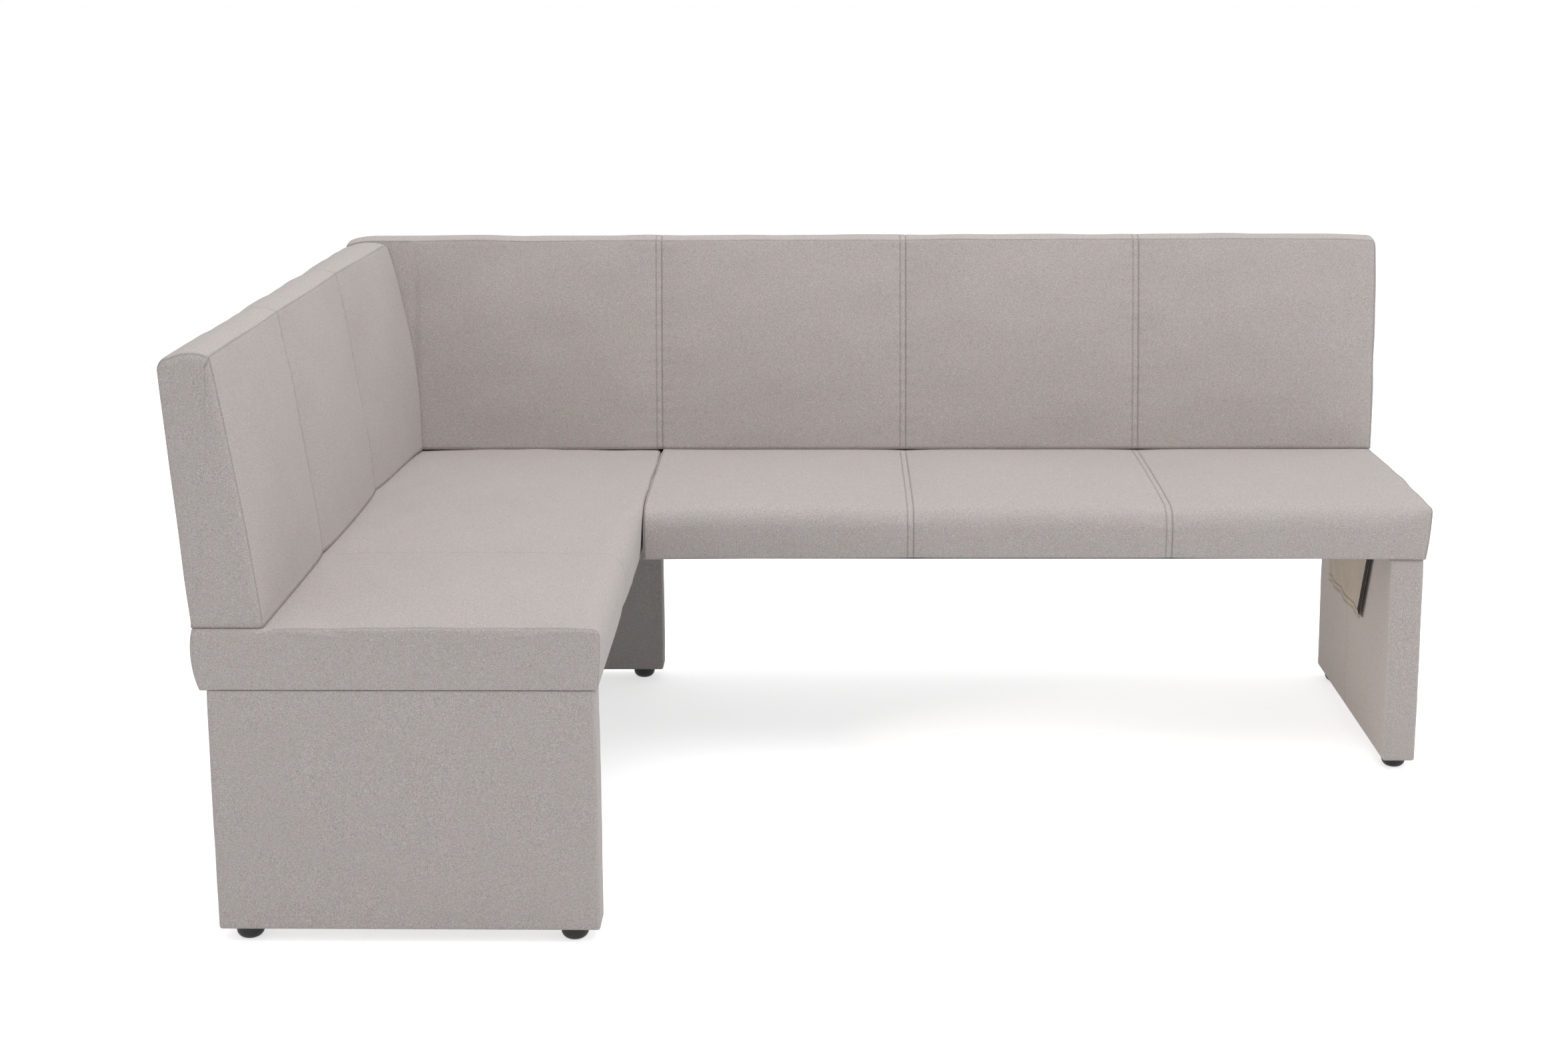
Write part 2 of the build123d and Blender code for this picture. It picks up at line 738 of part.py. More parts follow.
# Leg panels: a padded cover over two boards on a frame of stiles and rails
core_bottom = glide_height + leg_wall + fit_gap
core_across = (leg_wall + fit_gap, leg_width - leg_wall - fit_gap)
stile_through = (leg_core[0] + leg_board_thickness, leg_core[1] - leg_board_thickness)
rail_across = (core_across[0] + leg_stile_width, core_across[1] - leg_stile_width)
leg_middle = (core_bottom + leg_top) / 2
insert_hole = insert_diameter + 2 * screw_fit
for name, plane in leg_planes.items():
    glide_planes = leg_points(plane, glide_offsets, 0)
    bolt_planes = leg_points(plane, bolt_offsets, 0)

    with BuildPart() as leg_cover:
        add(block(plane, (0, leg_width), (0, leg_thickness), (glide_height, leg_top)))
        upright_edges = leg_cover.edges().filter_by(Axis.Z)
        bottom_edges = leg_cover.faces().sort_by(Axis.Z)[0].edges()
        fillet(upright_edges + bottom_edges, leg_edge_radius)
        room_across = (leg_wall, leg_width - leg_wall)
        room_through = (leg_wall, leg_thickness - leg_wall)
        add(block(plane, room_across, room_through, (glide_height + leg_wall, leg_top + 1)), mode=Mode.SUBTRACT)
        add(pegs(glide_planes, screw_hole, glide_height - 1, core_bottom), mode=Mode.SUBTRACT)
    finish(leg_cover.part, f"{name}_leg_cover")

    with BuildPart() as leg_boards:
        add(block(plane, core_across, (leg_core[0], stile_through[0]), (core_bottom, leg_top)))
        add(block(plane, core_across, (stile_through[1], leg_core[1]), (core_bottom, leg_top)))
    finish(leg_boards.part, f"{name}_leg_boards")

    with BuildPart() as leg_stiles:
        add(block(plane, (core_across[0], rail_across[0]), stile_through, (core_bottom, leg_top)))
        add(block(plane, (rail_across[1], core_across[1]), stile_through, (core_bottom, leg_top)))
        screw_end = glide_head_recess + glide_screw_length + 1
        add(pegs(glide_planes, pilot, core_bottom - 1, screw_end), mode=Mode.SUBTRACT)
    finish(leg_stiles.part, f"{name}_leg_stiles")

    with BuildPart() as leg_rails:
        for height in (core_bottom, leg_middle - leg_rail_height / 2, leg_top - leg_rail_height):
            add(block(plane, rail_across, stile_through, (height, height + leg_rail_height)))
        add(pegs(bolt_planes, insert_hole, leg_top - bolt_reach - 1, leg_top + 1), mode=Mode.SUBTRACT)
    finish(leg_rails.part, f"{name}_leg_rails")

    # Glides: low domes with a flat foot and a sunk screw
    dome_rise = glide_height - glide_shoulder
    dome_width = (glide_diameter - glide_flat_diameter) / 2
    with BuildPart() as glides:
        for glide_plane in glide_planes:
            section = Plane(glide_plane.origin, x_dir=(1, 0, 0), z_dir=(0, -1, 0))
            with BuildSketch(section):
                with BuildLine():
                    Polyline((glide_diameter / 2, dome_rise), (glide_diameter / 2, glide_height), (0, glide_height))
                    Polyline((0, glide_height), (0, 0), (glide_flat_diameter / 2, 0))
                    ThreePointArc(
                        (glide_flat_diameter / 2, 0),
                        (glide_flat_diameter / 2 + dome_width * sqrt(0.5), dome_rise * (1 - sqrt(0.5))),
                        (glide_diameter / 2, dome_rise),
                    )
                make_face()
            revolve(axis=Axis(glide_plane.origin, (0, 0, 1)))
        add(pegs(glide_planes, screw_hole, -1, glide_height + 1), mode=Mode.SUBTRACT)
        head_recess = screw_head_diameter + 2 * bolt_recess_gap
        add(pegs(glide_planes, head_recess, -1, glide_head_recess), mode=Mode.SUBTRACT)
    finish(glides.part, f"{name}_leg_glides")

all_glides = []
for plane in leg_planes.values():
    all_glides += leg_points(plane, glide_offsets, 0)
with BuildPart() as glide_screws:
    add(pegs(all_glides, screw_head_diameter, glide_head_recess - screw_head_height, glide_head_recess))
    add(pegs(all_glides, screw_diameter, glide_head_recess, glide_head_recess + glide_screw_length))
finish(glide_screws.part, "glide_screws")


def hexagons(planes, first, last):
    """Bolt heads and nuts: hexagons across their flats, along the z direction of each plane."""
    with BuildPart() as body:
        for plane in planes:
            with BuildSketch(plane.offset(first)):
                RegularPolygon(bolt_head_width / 2, 6, major_radius=False)
            extrude(amount=last - first)
    return body.part


def rings(planes, outer, inner, first, last):
    """Washers and sleeves along the z direction of each plane."""
    with BuildPart() as body:
        for plane in planes:
            with BuildSketch(plane.offset(first)):
                Circle(outer / 2)
                Circle(inner / 2, mode=Mode.SUBTRACT)
            extrude(amount=last - first)
    return body.part


# Leg bolts: sunk in the end rails, down into threaded inserts in the leg panels
recess_floor = rail_top - bolt_recess_depth
head_seat = recess_floor + washer_thickness
with BuildPart() as leg_bolts:
    add(hexagons(all_bolts, head_seat, head_seat + bolt_head_height))
    add(pegs(all_bolts, bolt_diameter, leg_top - bolt_reach, head_seat))
finish(leg_bolts.part, "leg_bolts")

with BuildPart() as leg_washers:
    add(rings(all_bolts, washer_diameter, bolt_hole, recess_floor, head_seat))
finish(leg_washers.part, "leg_washers")

with BuildPart() as leg_inserts:
    insert_bore = bolt_diameter + 2 * screw_fit
    add(rings(all_bolts, insert_diameter, insert_bore, leg_top - insert_length, leg_top))
finish(leg_inserts.part, "leg_inserts")

# Connector bolts: head inside the long seat, nut inside the short seat
nut_seat = connector_run + washer_thickness
with BuildPart() as connector_bolts_part:
    add(hexagons(connector_bolts, -washer_thickness - bolt_head_height, -washer_thickness))
    shank_end = nut_seat + nut_height + connector_tail
    add(pegs(connector_bolts, bolt_diameter, -washer_thickness, shank_end))
finish(connector_bolts_part.part, "connector_bolts")

with BuildPart() as connector_washers:
    add(rings(connector_bolts, washer_diameter, bolt_hole, -washer_thickness, 0))
    add(rings(connector_bolts, washer_diameter, bolt_hole, connector_run, nut_seat))
finish(connector_washers.part, "connector_washers")

with BuildPart() as connector_nuts:
    add(hexagons(connector_bolts, nut_seat, nut_seat + nut_height))
    nut_bore = bolt_diameter + 2 * screw_fit
    add(pegs(connector_bolts, nut_bore, nut_seat - 1, nut_seat + nut_height + 1), mode=Mode.SUBTRACT)
finish(connector_nuts.part, "connector_nuts")

# Access flap: cloth that hangs from a rolled bead beside the end leg and swings up to the lining
flap_pivot = lining_bottom - 2 * tape_thickness - tape_clearance - flap_thickness / 2
x_hinge = x_long_end - hinge_along


def flap_outline(start, width, fold):
    """Flap seen from above: soft folds along its width and a flat margin for the tape."""
    fold_width = (width - flap_margin) / flap_folds
    edge = [start + fold_width * index for index in range(flap_folds + 1)]
    half = flap_thickness / 2
    with BuildSketch() as outline:
        with BuildLine():
            for side in (-half, half):
                for index in range(flap_folds):
                    bulge = fold if index % 2 else -fold
                    ThreePointArc(
                        (edge[index], side),
                        (edge[index] + fold_width / 2, side + bulge),
                        (edge[index + 1], side),
                    )
                Line((edge[-1], side), (start + width, side))
            Line((start, -half), (start, half))
            Line((start + width, -half), (start + width, half))
        make_face()
    return outline.sketch


flap_top = Plane((x_hinge, y_seat_rear, flap_pivot), x_dir=(0, -1, 0), z_dir=(0, 0, 1))
bead_plane = Plane((x_hinge, y_seat_rear, flap_pivot), z_dir=(0, -1, 0))
with BuildPart() as access_flap:
    with BuildSketch(flap_top):
        add(flap_outline(flap_top_start, flap_top_width, flap_top_fold))
    with BuildSketch(flap_top.offset(-flap_drop)):
        add(flap_outline(flap_bottom_start, flap_bottom_width, flap_bottom_fold))
    loft(ruled=True)
    add(pegs([bead_plane], 2 * flap_bead_radius, flap_top_start, flap_top_start + flap_top_width))
finish(access_flap.part, "access_flap")


def tape_strip(plane, direction):
    """Tape along the front edge of the flap, drawn down from the hinge or out from it."""
    lean_in = (flap_top_start + flap_top_width - flap_bottom_start - flap_bottom_width) / flap_drop
    top_edge = flap_top_start + flap_top_width - tape_edge_gap
    ends = (tape_end_gap, flap_drop - tape_end_gap)
    outer = [(top_edge - lean_in * drop, direction * drop) for drop in ends]
    inner = [(across - tape_width, up) for across, up in outer]
    with BuildPart() as body:
        with BuildSketch(plane):
            with BuildLine():
                Polyline(outer[0], outer[1], inner[1], inner[0], close=True)
            make_face()
        extrude(amount=tape_thickness)
    return body.part


hook_plane = Plane((x_hinge - flap_thickness / 2, y_seat_rear, flap_pivot), x_dir=(0, -1, 0), z_dir=(-1, 0, 0))
loop_plane = Plane((x_hinge, y_seat_rear, lining_bottom), x_dir=(0, -1, 0), z_dir=(0, 0, -1))
with BuildPart() as flap_hook_tape:
    add(tape_strip(hook_plane, -1))
finish(flap_hook_tape.part, "flap_hook_tape")

with BuildPart() as flap_loop_tape:
    add(tape_strip(loop_plane, 1))
finish(flap_loop_tape.part, "flap_loop_tape")

with BuildPart() as flap_header:
    header_half = flap_header_width / 2
    add(
        block(
            long_plane,
            (flap_top_start, flap_top_start + flap_top_width),
            (flap_pivot + flap_bead_radius + fit_gap, lining_bottom),
            (hinge_along - header_half, hinge_along + header_half),
        )
    )
finish(flap_header.part, "flap_header")
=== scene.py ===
import json
import math
import bpy
import bmesh
import numpy as np
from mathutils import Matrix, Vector


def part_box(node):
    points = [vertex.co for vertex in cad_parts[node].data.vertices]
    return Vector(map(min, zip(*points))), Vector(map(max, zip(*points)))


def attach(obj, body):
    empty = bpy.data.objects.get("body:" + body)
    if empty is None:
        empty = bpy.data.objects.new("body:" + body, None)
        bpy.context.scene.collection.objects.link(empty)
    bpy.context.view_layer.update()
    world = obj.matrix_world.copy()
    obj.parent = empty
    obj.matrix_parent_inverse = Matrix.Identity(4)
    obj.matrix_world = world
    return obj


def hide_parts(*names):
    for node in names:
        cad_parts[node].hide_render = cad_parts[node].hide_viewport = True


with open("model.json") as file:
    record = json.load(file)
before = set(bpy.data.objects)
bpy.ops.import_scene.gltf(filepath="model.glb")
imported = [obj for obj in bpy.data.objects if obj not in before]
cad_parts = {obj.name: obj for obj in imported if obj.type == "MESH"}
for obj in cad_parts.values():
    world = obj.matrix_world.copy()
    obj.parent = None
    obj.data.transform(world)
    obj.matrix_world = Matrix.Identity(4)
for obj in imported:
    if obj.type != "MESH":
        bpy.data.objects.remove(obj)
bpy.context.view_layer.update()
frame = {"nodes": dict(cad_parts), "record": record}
scene = bpy.context.scene
mm = 0.001

# where the CAD seats and backs stand
shortLow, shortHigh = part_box("short_seat_cover")
longLow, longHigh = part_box("long_seat_cover")
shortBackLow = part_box("short_back_cover")[0]
longBackLow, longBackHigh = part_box("long_back_cover")
rearX = shortLow.x
rearY = longHigh.y
shortLength = shortHigh.y - shortLow.y
longLength = longHigh.x - longLow.x
seatBase = shortLow.z
seatDepth = shortHigh.x - shortLow.x
seatTop = shortBackLow.z
backTop = longBackHigh.z
print("frame loaded", len(frame["nodes"]), "nodes")


def shortPlace(u, v, w):  # from the wall, up, and along the short seat
    return np.stack([rearX + u, rearY - w, v], axis=-1)


def longPlace(u, v, w):  # the same for the long seat, counted from its free end
    return np.stack([longHigh.x - w, rearY - u, v], axis=-1)


def rippleField(points, seed, waves, shortest, longest):  # smooth wrinkles from seeded plane waves
    draw = np.random.default_rng(seed)
    total = np.zeros(points.shape[:-1])
    for _ in range(waves):
        direction = draw.normal(size=3)
        direction /= np.linalg.norm(direction)
        length = math.exp(draw.uniform(math.log(shortest), math.log(longest)))
        total += np.sin(points @ direction * (2 * math.pi / length) + draw.uniform(0, 2 * math.pi))
    return total / math.sqrt(waves / 2)


def bend(first, middle, last, count):  # smooth run of points through a middle point, one row per station
    control = 2 * middle - (first + last) / 2
    t = np.linspace(0, 1, count, endpoint=False)[None, :, None]
    return (1 - t) ** 2 * first[:, None] + 2 * t * (1 - t) * control[:, None] + t ** 2 * last[:, None]


def pairs(u, v):
    return np.stack(np.broadcast_arrays(np.asarray(u, float), np.asarray(v, float)), axis=-1)


stationing = dict(seamSteps=10, endReach=16 * mm, endSteps=14, closest=0.0006)


def stationRow(length, seams, step, fine):  # stations along a cushion, closer together at seams and ends
    near = np.arange(-stationing["seamSteps"], stationing["seamSteps"] + 1) * fine
    ends = np.linspace(0, stationing["endReach"], stationing["endSteps"])
    rows = [np.arange(0, length, step), [length], ends, length - ends]
    rows += [seam + near for seam in seams]
    row = np.unique(np.round(np.clip(np.concatenate(rows), 0, length), 5))
    keep = np.concatenate([[True], np.diff(row) > stationing["closest"]])
    return row[keep]


def endRound(w, length, radius):  # how far the skin has dropped where a cushion rounds over at its ends
    near = np.clip(radius - np.minimum(w, length - w), 0, radius)
    return radius - np.sqrt(np.maximum(radius ** 2 - near ** 2, 0))


def panelCrown(w, edges, p):  # each panel between two seams stands highest in its middle
    crown = np.full(w.shape, p["edgeCrown"])
    for first, last in zip(edges, edges[1:]):
        share = np.clip((w - first) / (last - first), 0, 1)
        crown = np.maximum(crown, p["edgeCrown"] + (p["crown"] - p["edgeCrown"]) * 4 * share * (1 - share))
    return crown


def seamSink(w, seams, p):  # how far the skin is drawn in beside its seams
    return sum((p["pillow"] * np.exp(-np.abs(w - s) / p["pillowReach"]) for s in seams), np.zeros(w.shape))


def meshPiece(name, vertices, faces, shade=None):
    mesh = bpy.data.meshes.new(name)
    mesh.from_pydata([tuple(v) for v in vertices], [], [tuple(f) for f in faces])
    mesh.validate()
    if shade is not None:  # painted shade along the sewn seams at each point, read by the cloth's material
        sewn = np.zeros(len(vertices))
        sewn[:shade.size] = shade.ravel()
        mesh.attributes.new("seam", "FLOAT", "POINT").data.foreach_set("value", np.clip(sewn, 0, 1))
    built = bmesh.new()
    built.from_mesh(mesh)
    bmesh.ops.recalc_face_normals(built, faces=built.faces)
    built.to_mesh(mesh)
    built.free()
    mesh.polygons.foreach_set("use_smooth", [True] * len(mesh.polygons))
    piece = bpy.data.objects.new(name, mesh)
    scene.collection.objects.link(piece)
    return piece


def loopSkin(grid, capRings, capBulge, along):  # closed skin from rings of points, with softly bulged caps
    stations, around = grid.shape[:2]
    vertices = list(grid.reshape(-1, 3))
    faces = []
    step = np.arange(around)
    nextStep = (step + 1) % around
    for station in range(stations - 1):
        a = station * around
        b = a + around
        faces += list(zip(a + step, a + nextStep, b + nextStep, b + step))
    for station, sign in ((0, -1), (stations - 1, 1)):
        ring = grid[station]
        centre = ring.mean(axis=0)
        before = station * around
        for share in capRings:
            lift = sign * capBulge * (1 - share ** 4) * along
            start = len(vertices)
            vertices += list(centre + (ring - centre) * share + lift)
            faces += list(zip(before + step, before + nextStep, start + nextStep, start + step))
            before = start
        middle = len(vertices)
        vertices.append(centre + sign * capBulge * along)
        faces += [(before + i, before + (i + 1) % around, middle) for i in range(around)]
    return vertices, faces


def pushOut(grid, amount):  # move each point of a grid along its own normal
    across = np.roll(grid, -1, axis=1) - np.roll(grid, 1, axis=1)
    along = np.gradient(grid, axis=0)
    normal = np.cross(across, along)
    normal /= np.maximum(np.linalg.norm(normal, axis=-1, keepdims=True), 1e-9)
    outward = np.sign(((grid - grid.mean(axis=1, keepdims=True)) * normal).sum(-1).mean())
    return grid + outward * normal * amount[..., None], outward * normal


# dark and fade shape the painted shade along each seam groove
sewing = dict(waves=26, shortest=70 * mm, longest=260 * mm, secondRow=0.8, dark=0.8, fade=0.8,
              puckerReach=16 * mm, puckerClear=3 * mm, threadLift=0.2 * mm)
cushionCaps = [0.985, 0.95, 0.88, 0.76, 0.6, 0.4, 0.2]
stitchPaths = []


def sewnField(w, loop, upper, seams, p, seed, faint=1.0):  # wrinkles, puckered seams and sewn grooves, with painted shade along the grooves
    here = np.concatenate([loop, np.broadcast_to(w[:, None, None], loop.shape[:2] + (1,))], axis=2)
    field = p["wrinkle"] * rippleField(here, seed, sewing["waves"], sewing["shortest"], sewing["longest"])
    shade = np.zeros(field.shape)
    run = np.concatenate([[0], np.cumsum(np.linalg.norm(np.diff(loop[len(w) // 2], axis=0), axis=1))])
    rows = [(0, 1.0), (p["doubleGap"], sewing["secondRow"])]
    if faint < 1:  # a faint seam has a single row
        rows.pop()
    for index, seam in enumerate(seams):
        for offset, depth in rows:
            away = np.abs(w - seam - offset)[:, None]
            wave = np.sin(run / p["puckerPitch"] * 2 * math.pi + 1.7 * index + 3 * offset)[None, :]
            ruck = np.exp(-away / sewing["puckerReach"]) * (1 - np.exp(-away / sewing["puckerClear"]))
            sewn = faint * upper * depth * np.exp(-(away / p["grooveReach"]) ** 2)
            field -= p["groove"] * sewn
            field += upper * depth * p["pucker"] * wave * ruck
            shade = np.maximum(shade, sewing["dark"] * sewn ** sewing["fade"])
    return field, shade


def seamPaths(grid, normal, w, seams, upper, gap):  # lines on the skin that the stitches follow
    shown = np.where(upper > 0)[0]
    for seam in seams:
        for offset in (0, gap):
            row = int(np.argmin(np.abs(w - seam - offset)))
            stitchPaths.append(grid[row, shown] + normal[row, shown] * sewing["threadLift"])


seatCushion = dict(
    rearDraw=9 * mm, rearTopDraw=5 * mm, frontDraw=6 * mm, frontRadius=36 * mm, flat=112 * mm, arch=3 * mm,
    crown=9 * mm, edgeCrown=3 * mm, settle=0.6 * mm, wallRise=120 * mm, rollStart=25 * mm, rollReach=70 * mm,
    endRadius=4 * mm, endCorner=9 * mm, cornerReach=32 * mm, drawIn=8 * mm, drawReach=45 * mm,
    endSeam=3 * mm, endSeamReach=1.3 * mm, endSeamDepth=1.2 * mm, capBulge=1.5 * mm,
    pillow=3.0 * mm, pillowReach=38 * mm, groove=0.9 * mm, grooveReach=1.2 * mm, doubleGap=10.5 * mm,
    wrinkle=0.55 * mm, pucker=0.5 * mm, puckerPitch=26 * mm, faintSeam=0.4, step=6 * mm, fine=0.8 * mm)
seatRun = dict(under=16, rear=14, flat=10, top=64, front=16, apron=14)  # points around the seat's skin
seatFlatStart = seatRun["under"] + seatRun["rear"]


def seatSkin(length, seams, wallEnd, freeEnd):
    p = seatCushion
    w = stationRow(length, [*seams, *(s + p["doubleGap"] for s in seams)], p["step"], p["fine"])
    drop = endRound(w, length, p["endRadius"])
    crown = panelCrown(w, [0, *seams, length], p)
    if wallEnd:  # the long back stands across this end, so the top stays low there
        low = np.clip((w - wallEnd) / p["wallRise"], 0, 1)
        crown = p["edgeCrown"] + (crown - p["edgeCrown"]) * low
        drop = drop + p["edgeCrown"] * (1 - low)
    sink = seamSink(w, seams, p)
    topLevel = seatTop - drop - sink - p["settle"]
    rear = drop
    front = seatDepth - drop - sink
    base = np.full(w.shape, seatBase)
    tight = np.exp(-(np.abs(w - freeEnd) / p["cornerReach"]) ** 1.5)
    radius = p["frontRadius"] - (p["frontRadius"] - p["endCorner"]) * tight
    if wallEnd:  # beside the long seat the edge is tight, and past it the front rolls over
        clear = np.clip((w - seatDepth + p["rollStart"]) / p["rollReach"], 0, 1)
        radius = p["endCorner"] + (radius - p["endCorner"]) * clear * clear * (3 - 2 * clear)
    bendU = front - radius
    bendV = topLevel + crown / 3
    turn = radius * math.sqrt(0.5)
    knee = bendV - radius
    hem = base + (0 if wallEnd else p["arch"]) * np.sin(np.clip(w / length, 0, 1) * math.pi) ** 0.8
    frontHem = pairs(front - p["frontDraw"], hem)
    rearHem = pairs(rear + p["rearDraw"], base)
    rearTop = pairs(rear + p["rearTopDraw"], topLevel)
    flatEnd = pairs(p["flat"], topLevel)
    topEnd = pairs(bendU, bendV)
    apronTop = pairs(front, knee)
    loop = np.concatenate([
        bend(frontHem, pairs(seatDepth / 2, base + (hem - base) / 4), rearHem, seatRun["under"]),
        bend(rearHem, pairs(rear, (base + topLevel) / 2), rearTop, seatRun["rear"]),
        bend(rearTop, pairs(p["flat"] / 2, topLevel), flatEnd, seatRun["flat"]),
        bend(flatEnd, pairs((p["flat"] + bendU) / 2, topLevel + crown), topEnd, seatRun["top"]),
        bend(topEnd, pairs(bendU + turn, knee + turn), apronTop, seatRun["front"]),
        bend(apronTop, pairs(front - p["frontDraw"] / 4, (knee + hem) / 2), frontHem, seatRun["apron"]),
    ], axis=1)
    upper = np.zeros(loop.shape[1])
    upper[seatFlatStart - 4:] = 1  # the seams run over the top and the front only
    return w, loop, upper


def makeSeat(name, place, length, seams, wallEnd, seed):
    p = seatCushion
    freeEnd = length if wallEnd else 0
    w, loop, upper = seatSkin(length, seams, wallEnd, freeEnd)
    rise = np.clip((loop[..., 1] - seatBase) / (seatTop - seatBase), 0, 1)
    pull = p["drawIn"] * (1 - rise) ** 1.3 * np.exp(-np.abs(w - freeEnd) / p["drawReach"])[:, None]
    wide = w[:, None] + (-pull if wallEnd else pull)
    grid = place(loop[..., 0], loop[..., 1], wide)
    field, shade = sewnField(w, loop, upper, seams, p, seed, p["faintSeam"] if wallEnd else 1.0)
    calm = np.ones(loop.shape[1])
    calm[:seatRun["under"]] = 0  # flat where it lies on its frame
    calm[seatFlatStart:seatFlatStart + seatRun["flat"] + 2] = 0.15  # and nearly flat under the back
    # sunk seams round the ends, with painted shade along them
    away = np.minimum(np.abs(w - p["endSeam"]), np.abs(length - p["endSeam"] - w))[:, None]
    ring = calm * np.exp(-(away / p["endSeamReach"]) ** 2)
    field = field * calm - p["endSeamDepth"] * ring
    shade = np.maximum(shade * calm, sewing["dark"] * ring)
    grid, normal = pushOut(grid, field)
    along = place(0.0, 0.0, 1.0) - place(0.0, 0.0, 0.0)
    vertices, faces = loopSkin(grid, cushionCaps, p["capBulge"], along)
    if not wallEnd:
        seamPaths(grid, normal, w, seams, upper, p["doubleGap"])
    return meshPiece(name, vertices, faces, shade)


backCushion = dict(
    overhang=24 * mm, rearInset=2 * mm, foot=106 * mm, top=76 * mm, topCrown=6.5 * mm, topRadius=18 * mm,
    endTop=(14 * mm, 8 * mm), wallTop=(58 * mm, 16 * mm), arch=5 * mm, archReach=160 * mm,
    crown=10 * mm, edgeCrown=4 * mm, flatCrown=2 * mm, flatEdge=10 * mm, flatWrinkle=0.2,
    tuck=9 * mm, tuckReach=10 * mm, footSwell=17 * mm, topSwell=9 * mm, midSwell=11 * mm,
    cutGap=3.6 * mm, cutReach=110 * mm, endRadius=6 * mm, drawIn=7 * mm, drawReach=45 * mm,
    endSeam=4 * mm, endSeamReach=1.3 * mm, endSeamDepth=1.2 * mm, topSeamDepth=1.0 * mm, capBulge=1.5 * mm,
    pillow=3.2 * mm, pillowReach=40 * mm, groove=0.9 * mm, grooveReach=1.2 * mm, doubleGap=10.5 * mm,
    wrinkle=0.6 * mm, pucker=0.5 * mm, puckerPitch=24 * mm, step=6 * mm, fine=0.8 * mm)
cornerBack = dict(backCushion, pillow=7 * mm, pillowReach=55 * mm)
frontPicks = [*range(0, 688, 11), 691, 694, 696, 698]  # of 700 points, closer together towards the top seam
topPicks = [0, 3, 6, 10, 16, *range(24, 200, 11)]  # of 200 points, closer together beside it
backRun = dict(foot=8, front=700, top=200, turn=10, rear=40)  # points around the back's skin
topSeamRow = backRun["foot"] + len(frontPicks)
topStripEnd = topSeamRow + len(topPicks)


def backSkin(start, end, seams, flatFrom, corner):
    p = cornerBack if corner else backCushion
    sewn = [s - start for s in [*seams, *(s + p["doubleGap"] for s in seams)]]
    w = start + stationRow(end - start, sewn, p["step"], p["fine"])
    drop = endRound(w - start, end - start, p["endRadius"])
    if corner:
        drop = np.where(w < (start + end) / 2, 0, drop)
    crown = panelCrown(w, [start, *seams, flatFrom or end], p)
    sink = seamSink(w, seams, p)
    if flatFrom:
        crown = np.where(w > flatFrom, p["flatCrown"], crown)
    seamLevel = backTop - p["topCrown"] - drop - sink * 0.4
    rounds = [(end, *p["endTop"])] if corner else [(end, *p["wallTop"]), (start, *p["endTop"])]
    for far, reach, fall in rounds:  # the top rounds off towards each free end
        near = np.clip(1 - np.abs(w - far) / reach, 0, 1)
        seamLevel = seamLevel - fall * (1 - np.sqrt(1 - near ** 2))
    swell = np.zeros(w.shape)
    if corner:  # the panel beside the corner swells towards the other back
        swell = np.clip((seams[0] - w) / (seams[0] - start), 0, 1) ** 1.3
        crown = crown + p["midSwell"] * swell
        seamLevel = seamLevel - p["tuck"] * np.exp(-(w - start) / p["tuckReach"])
    else:  # a long top edge stands highest along its middle
        seamLevel = seamLevel + p["arch"] * np.clip((w - start) / p["archReach"], 0, 1) ** 0.6
    base = np.full(w.shape, seatTop)
    footU = p["rearInset"] + p["foot"] - drop - sink + p["footSwell"] * swell
    topU = p["top"] - p["overhang"] - drop - sink + p["topSwell"] * swell
    rearTopU = -p["overhang"] + drop
    rearFootU = p["rearInset"] + drop
    slope = np.hypot(footU - topU, seamLevel - base)
    midU = (footU + topU) / 2 + crown * (seamLevel - base) / slope
    midV = (base + seamLevel) / 2 + crown * (footU - topU) / slope
    roundU = rearTopU + p["topRadius"]
    roundV = seamLevel - p["topRadius"]
    turn = p["topRadius"] * math.sqrt(0.5)
    rearFoot = pairs(rearFootU, base)
    frontFoot = pairs(footU, base)
    topSeam = pairs(topU, seamLevel)
    topRear = pairs(roundU, seamLevel)
    rearTop = pairs(rearTopU, roundV)
    topMiddle = pairs((topU + roundU) / 2, seamLevel + p["topCrown"])
    rearMiddle = pairs((rearTopU + rearFootU) / 2, (roundV + base) / 2)
    loop = np.concatenate([
        bend(rearFoot, pairs((rearFootU + footU) / 2, base), frontFoot, backRun["foot"]),
        bend(frontFoot, pairs(midU, midV), topSeam, backRun["front"])[:, frontPicks],
        bend(topSeam, topMiddle, topRear, backRun["top"])[:, topPicks],
        bend(topRear, pairs(roundU - turn, roundV + turn), rearTop, backRun["turn"]),
        bend(rearTop, rearMiddle, rearFoot, backRun["rear"]),
    ], axis=1)
    upper = np.zeros(loop.shape[1])
    upper[backRun["foot"] + 1:topStripEnd] = 1
    return w, loop, upper


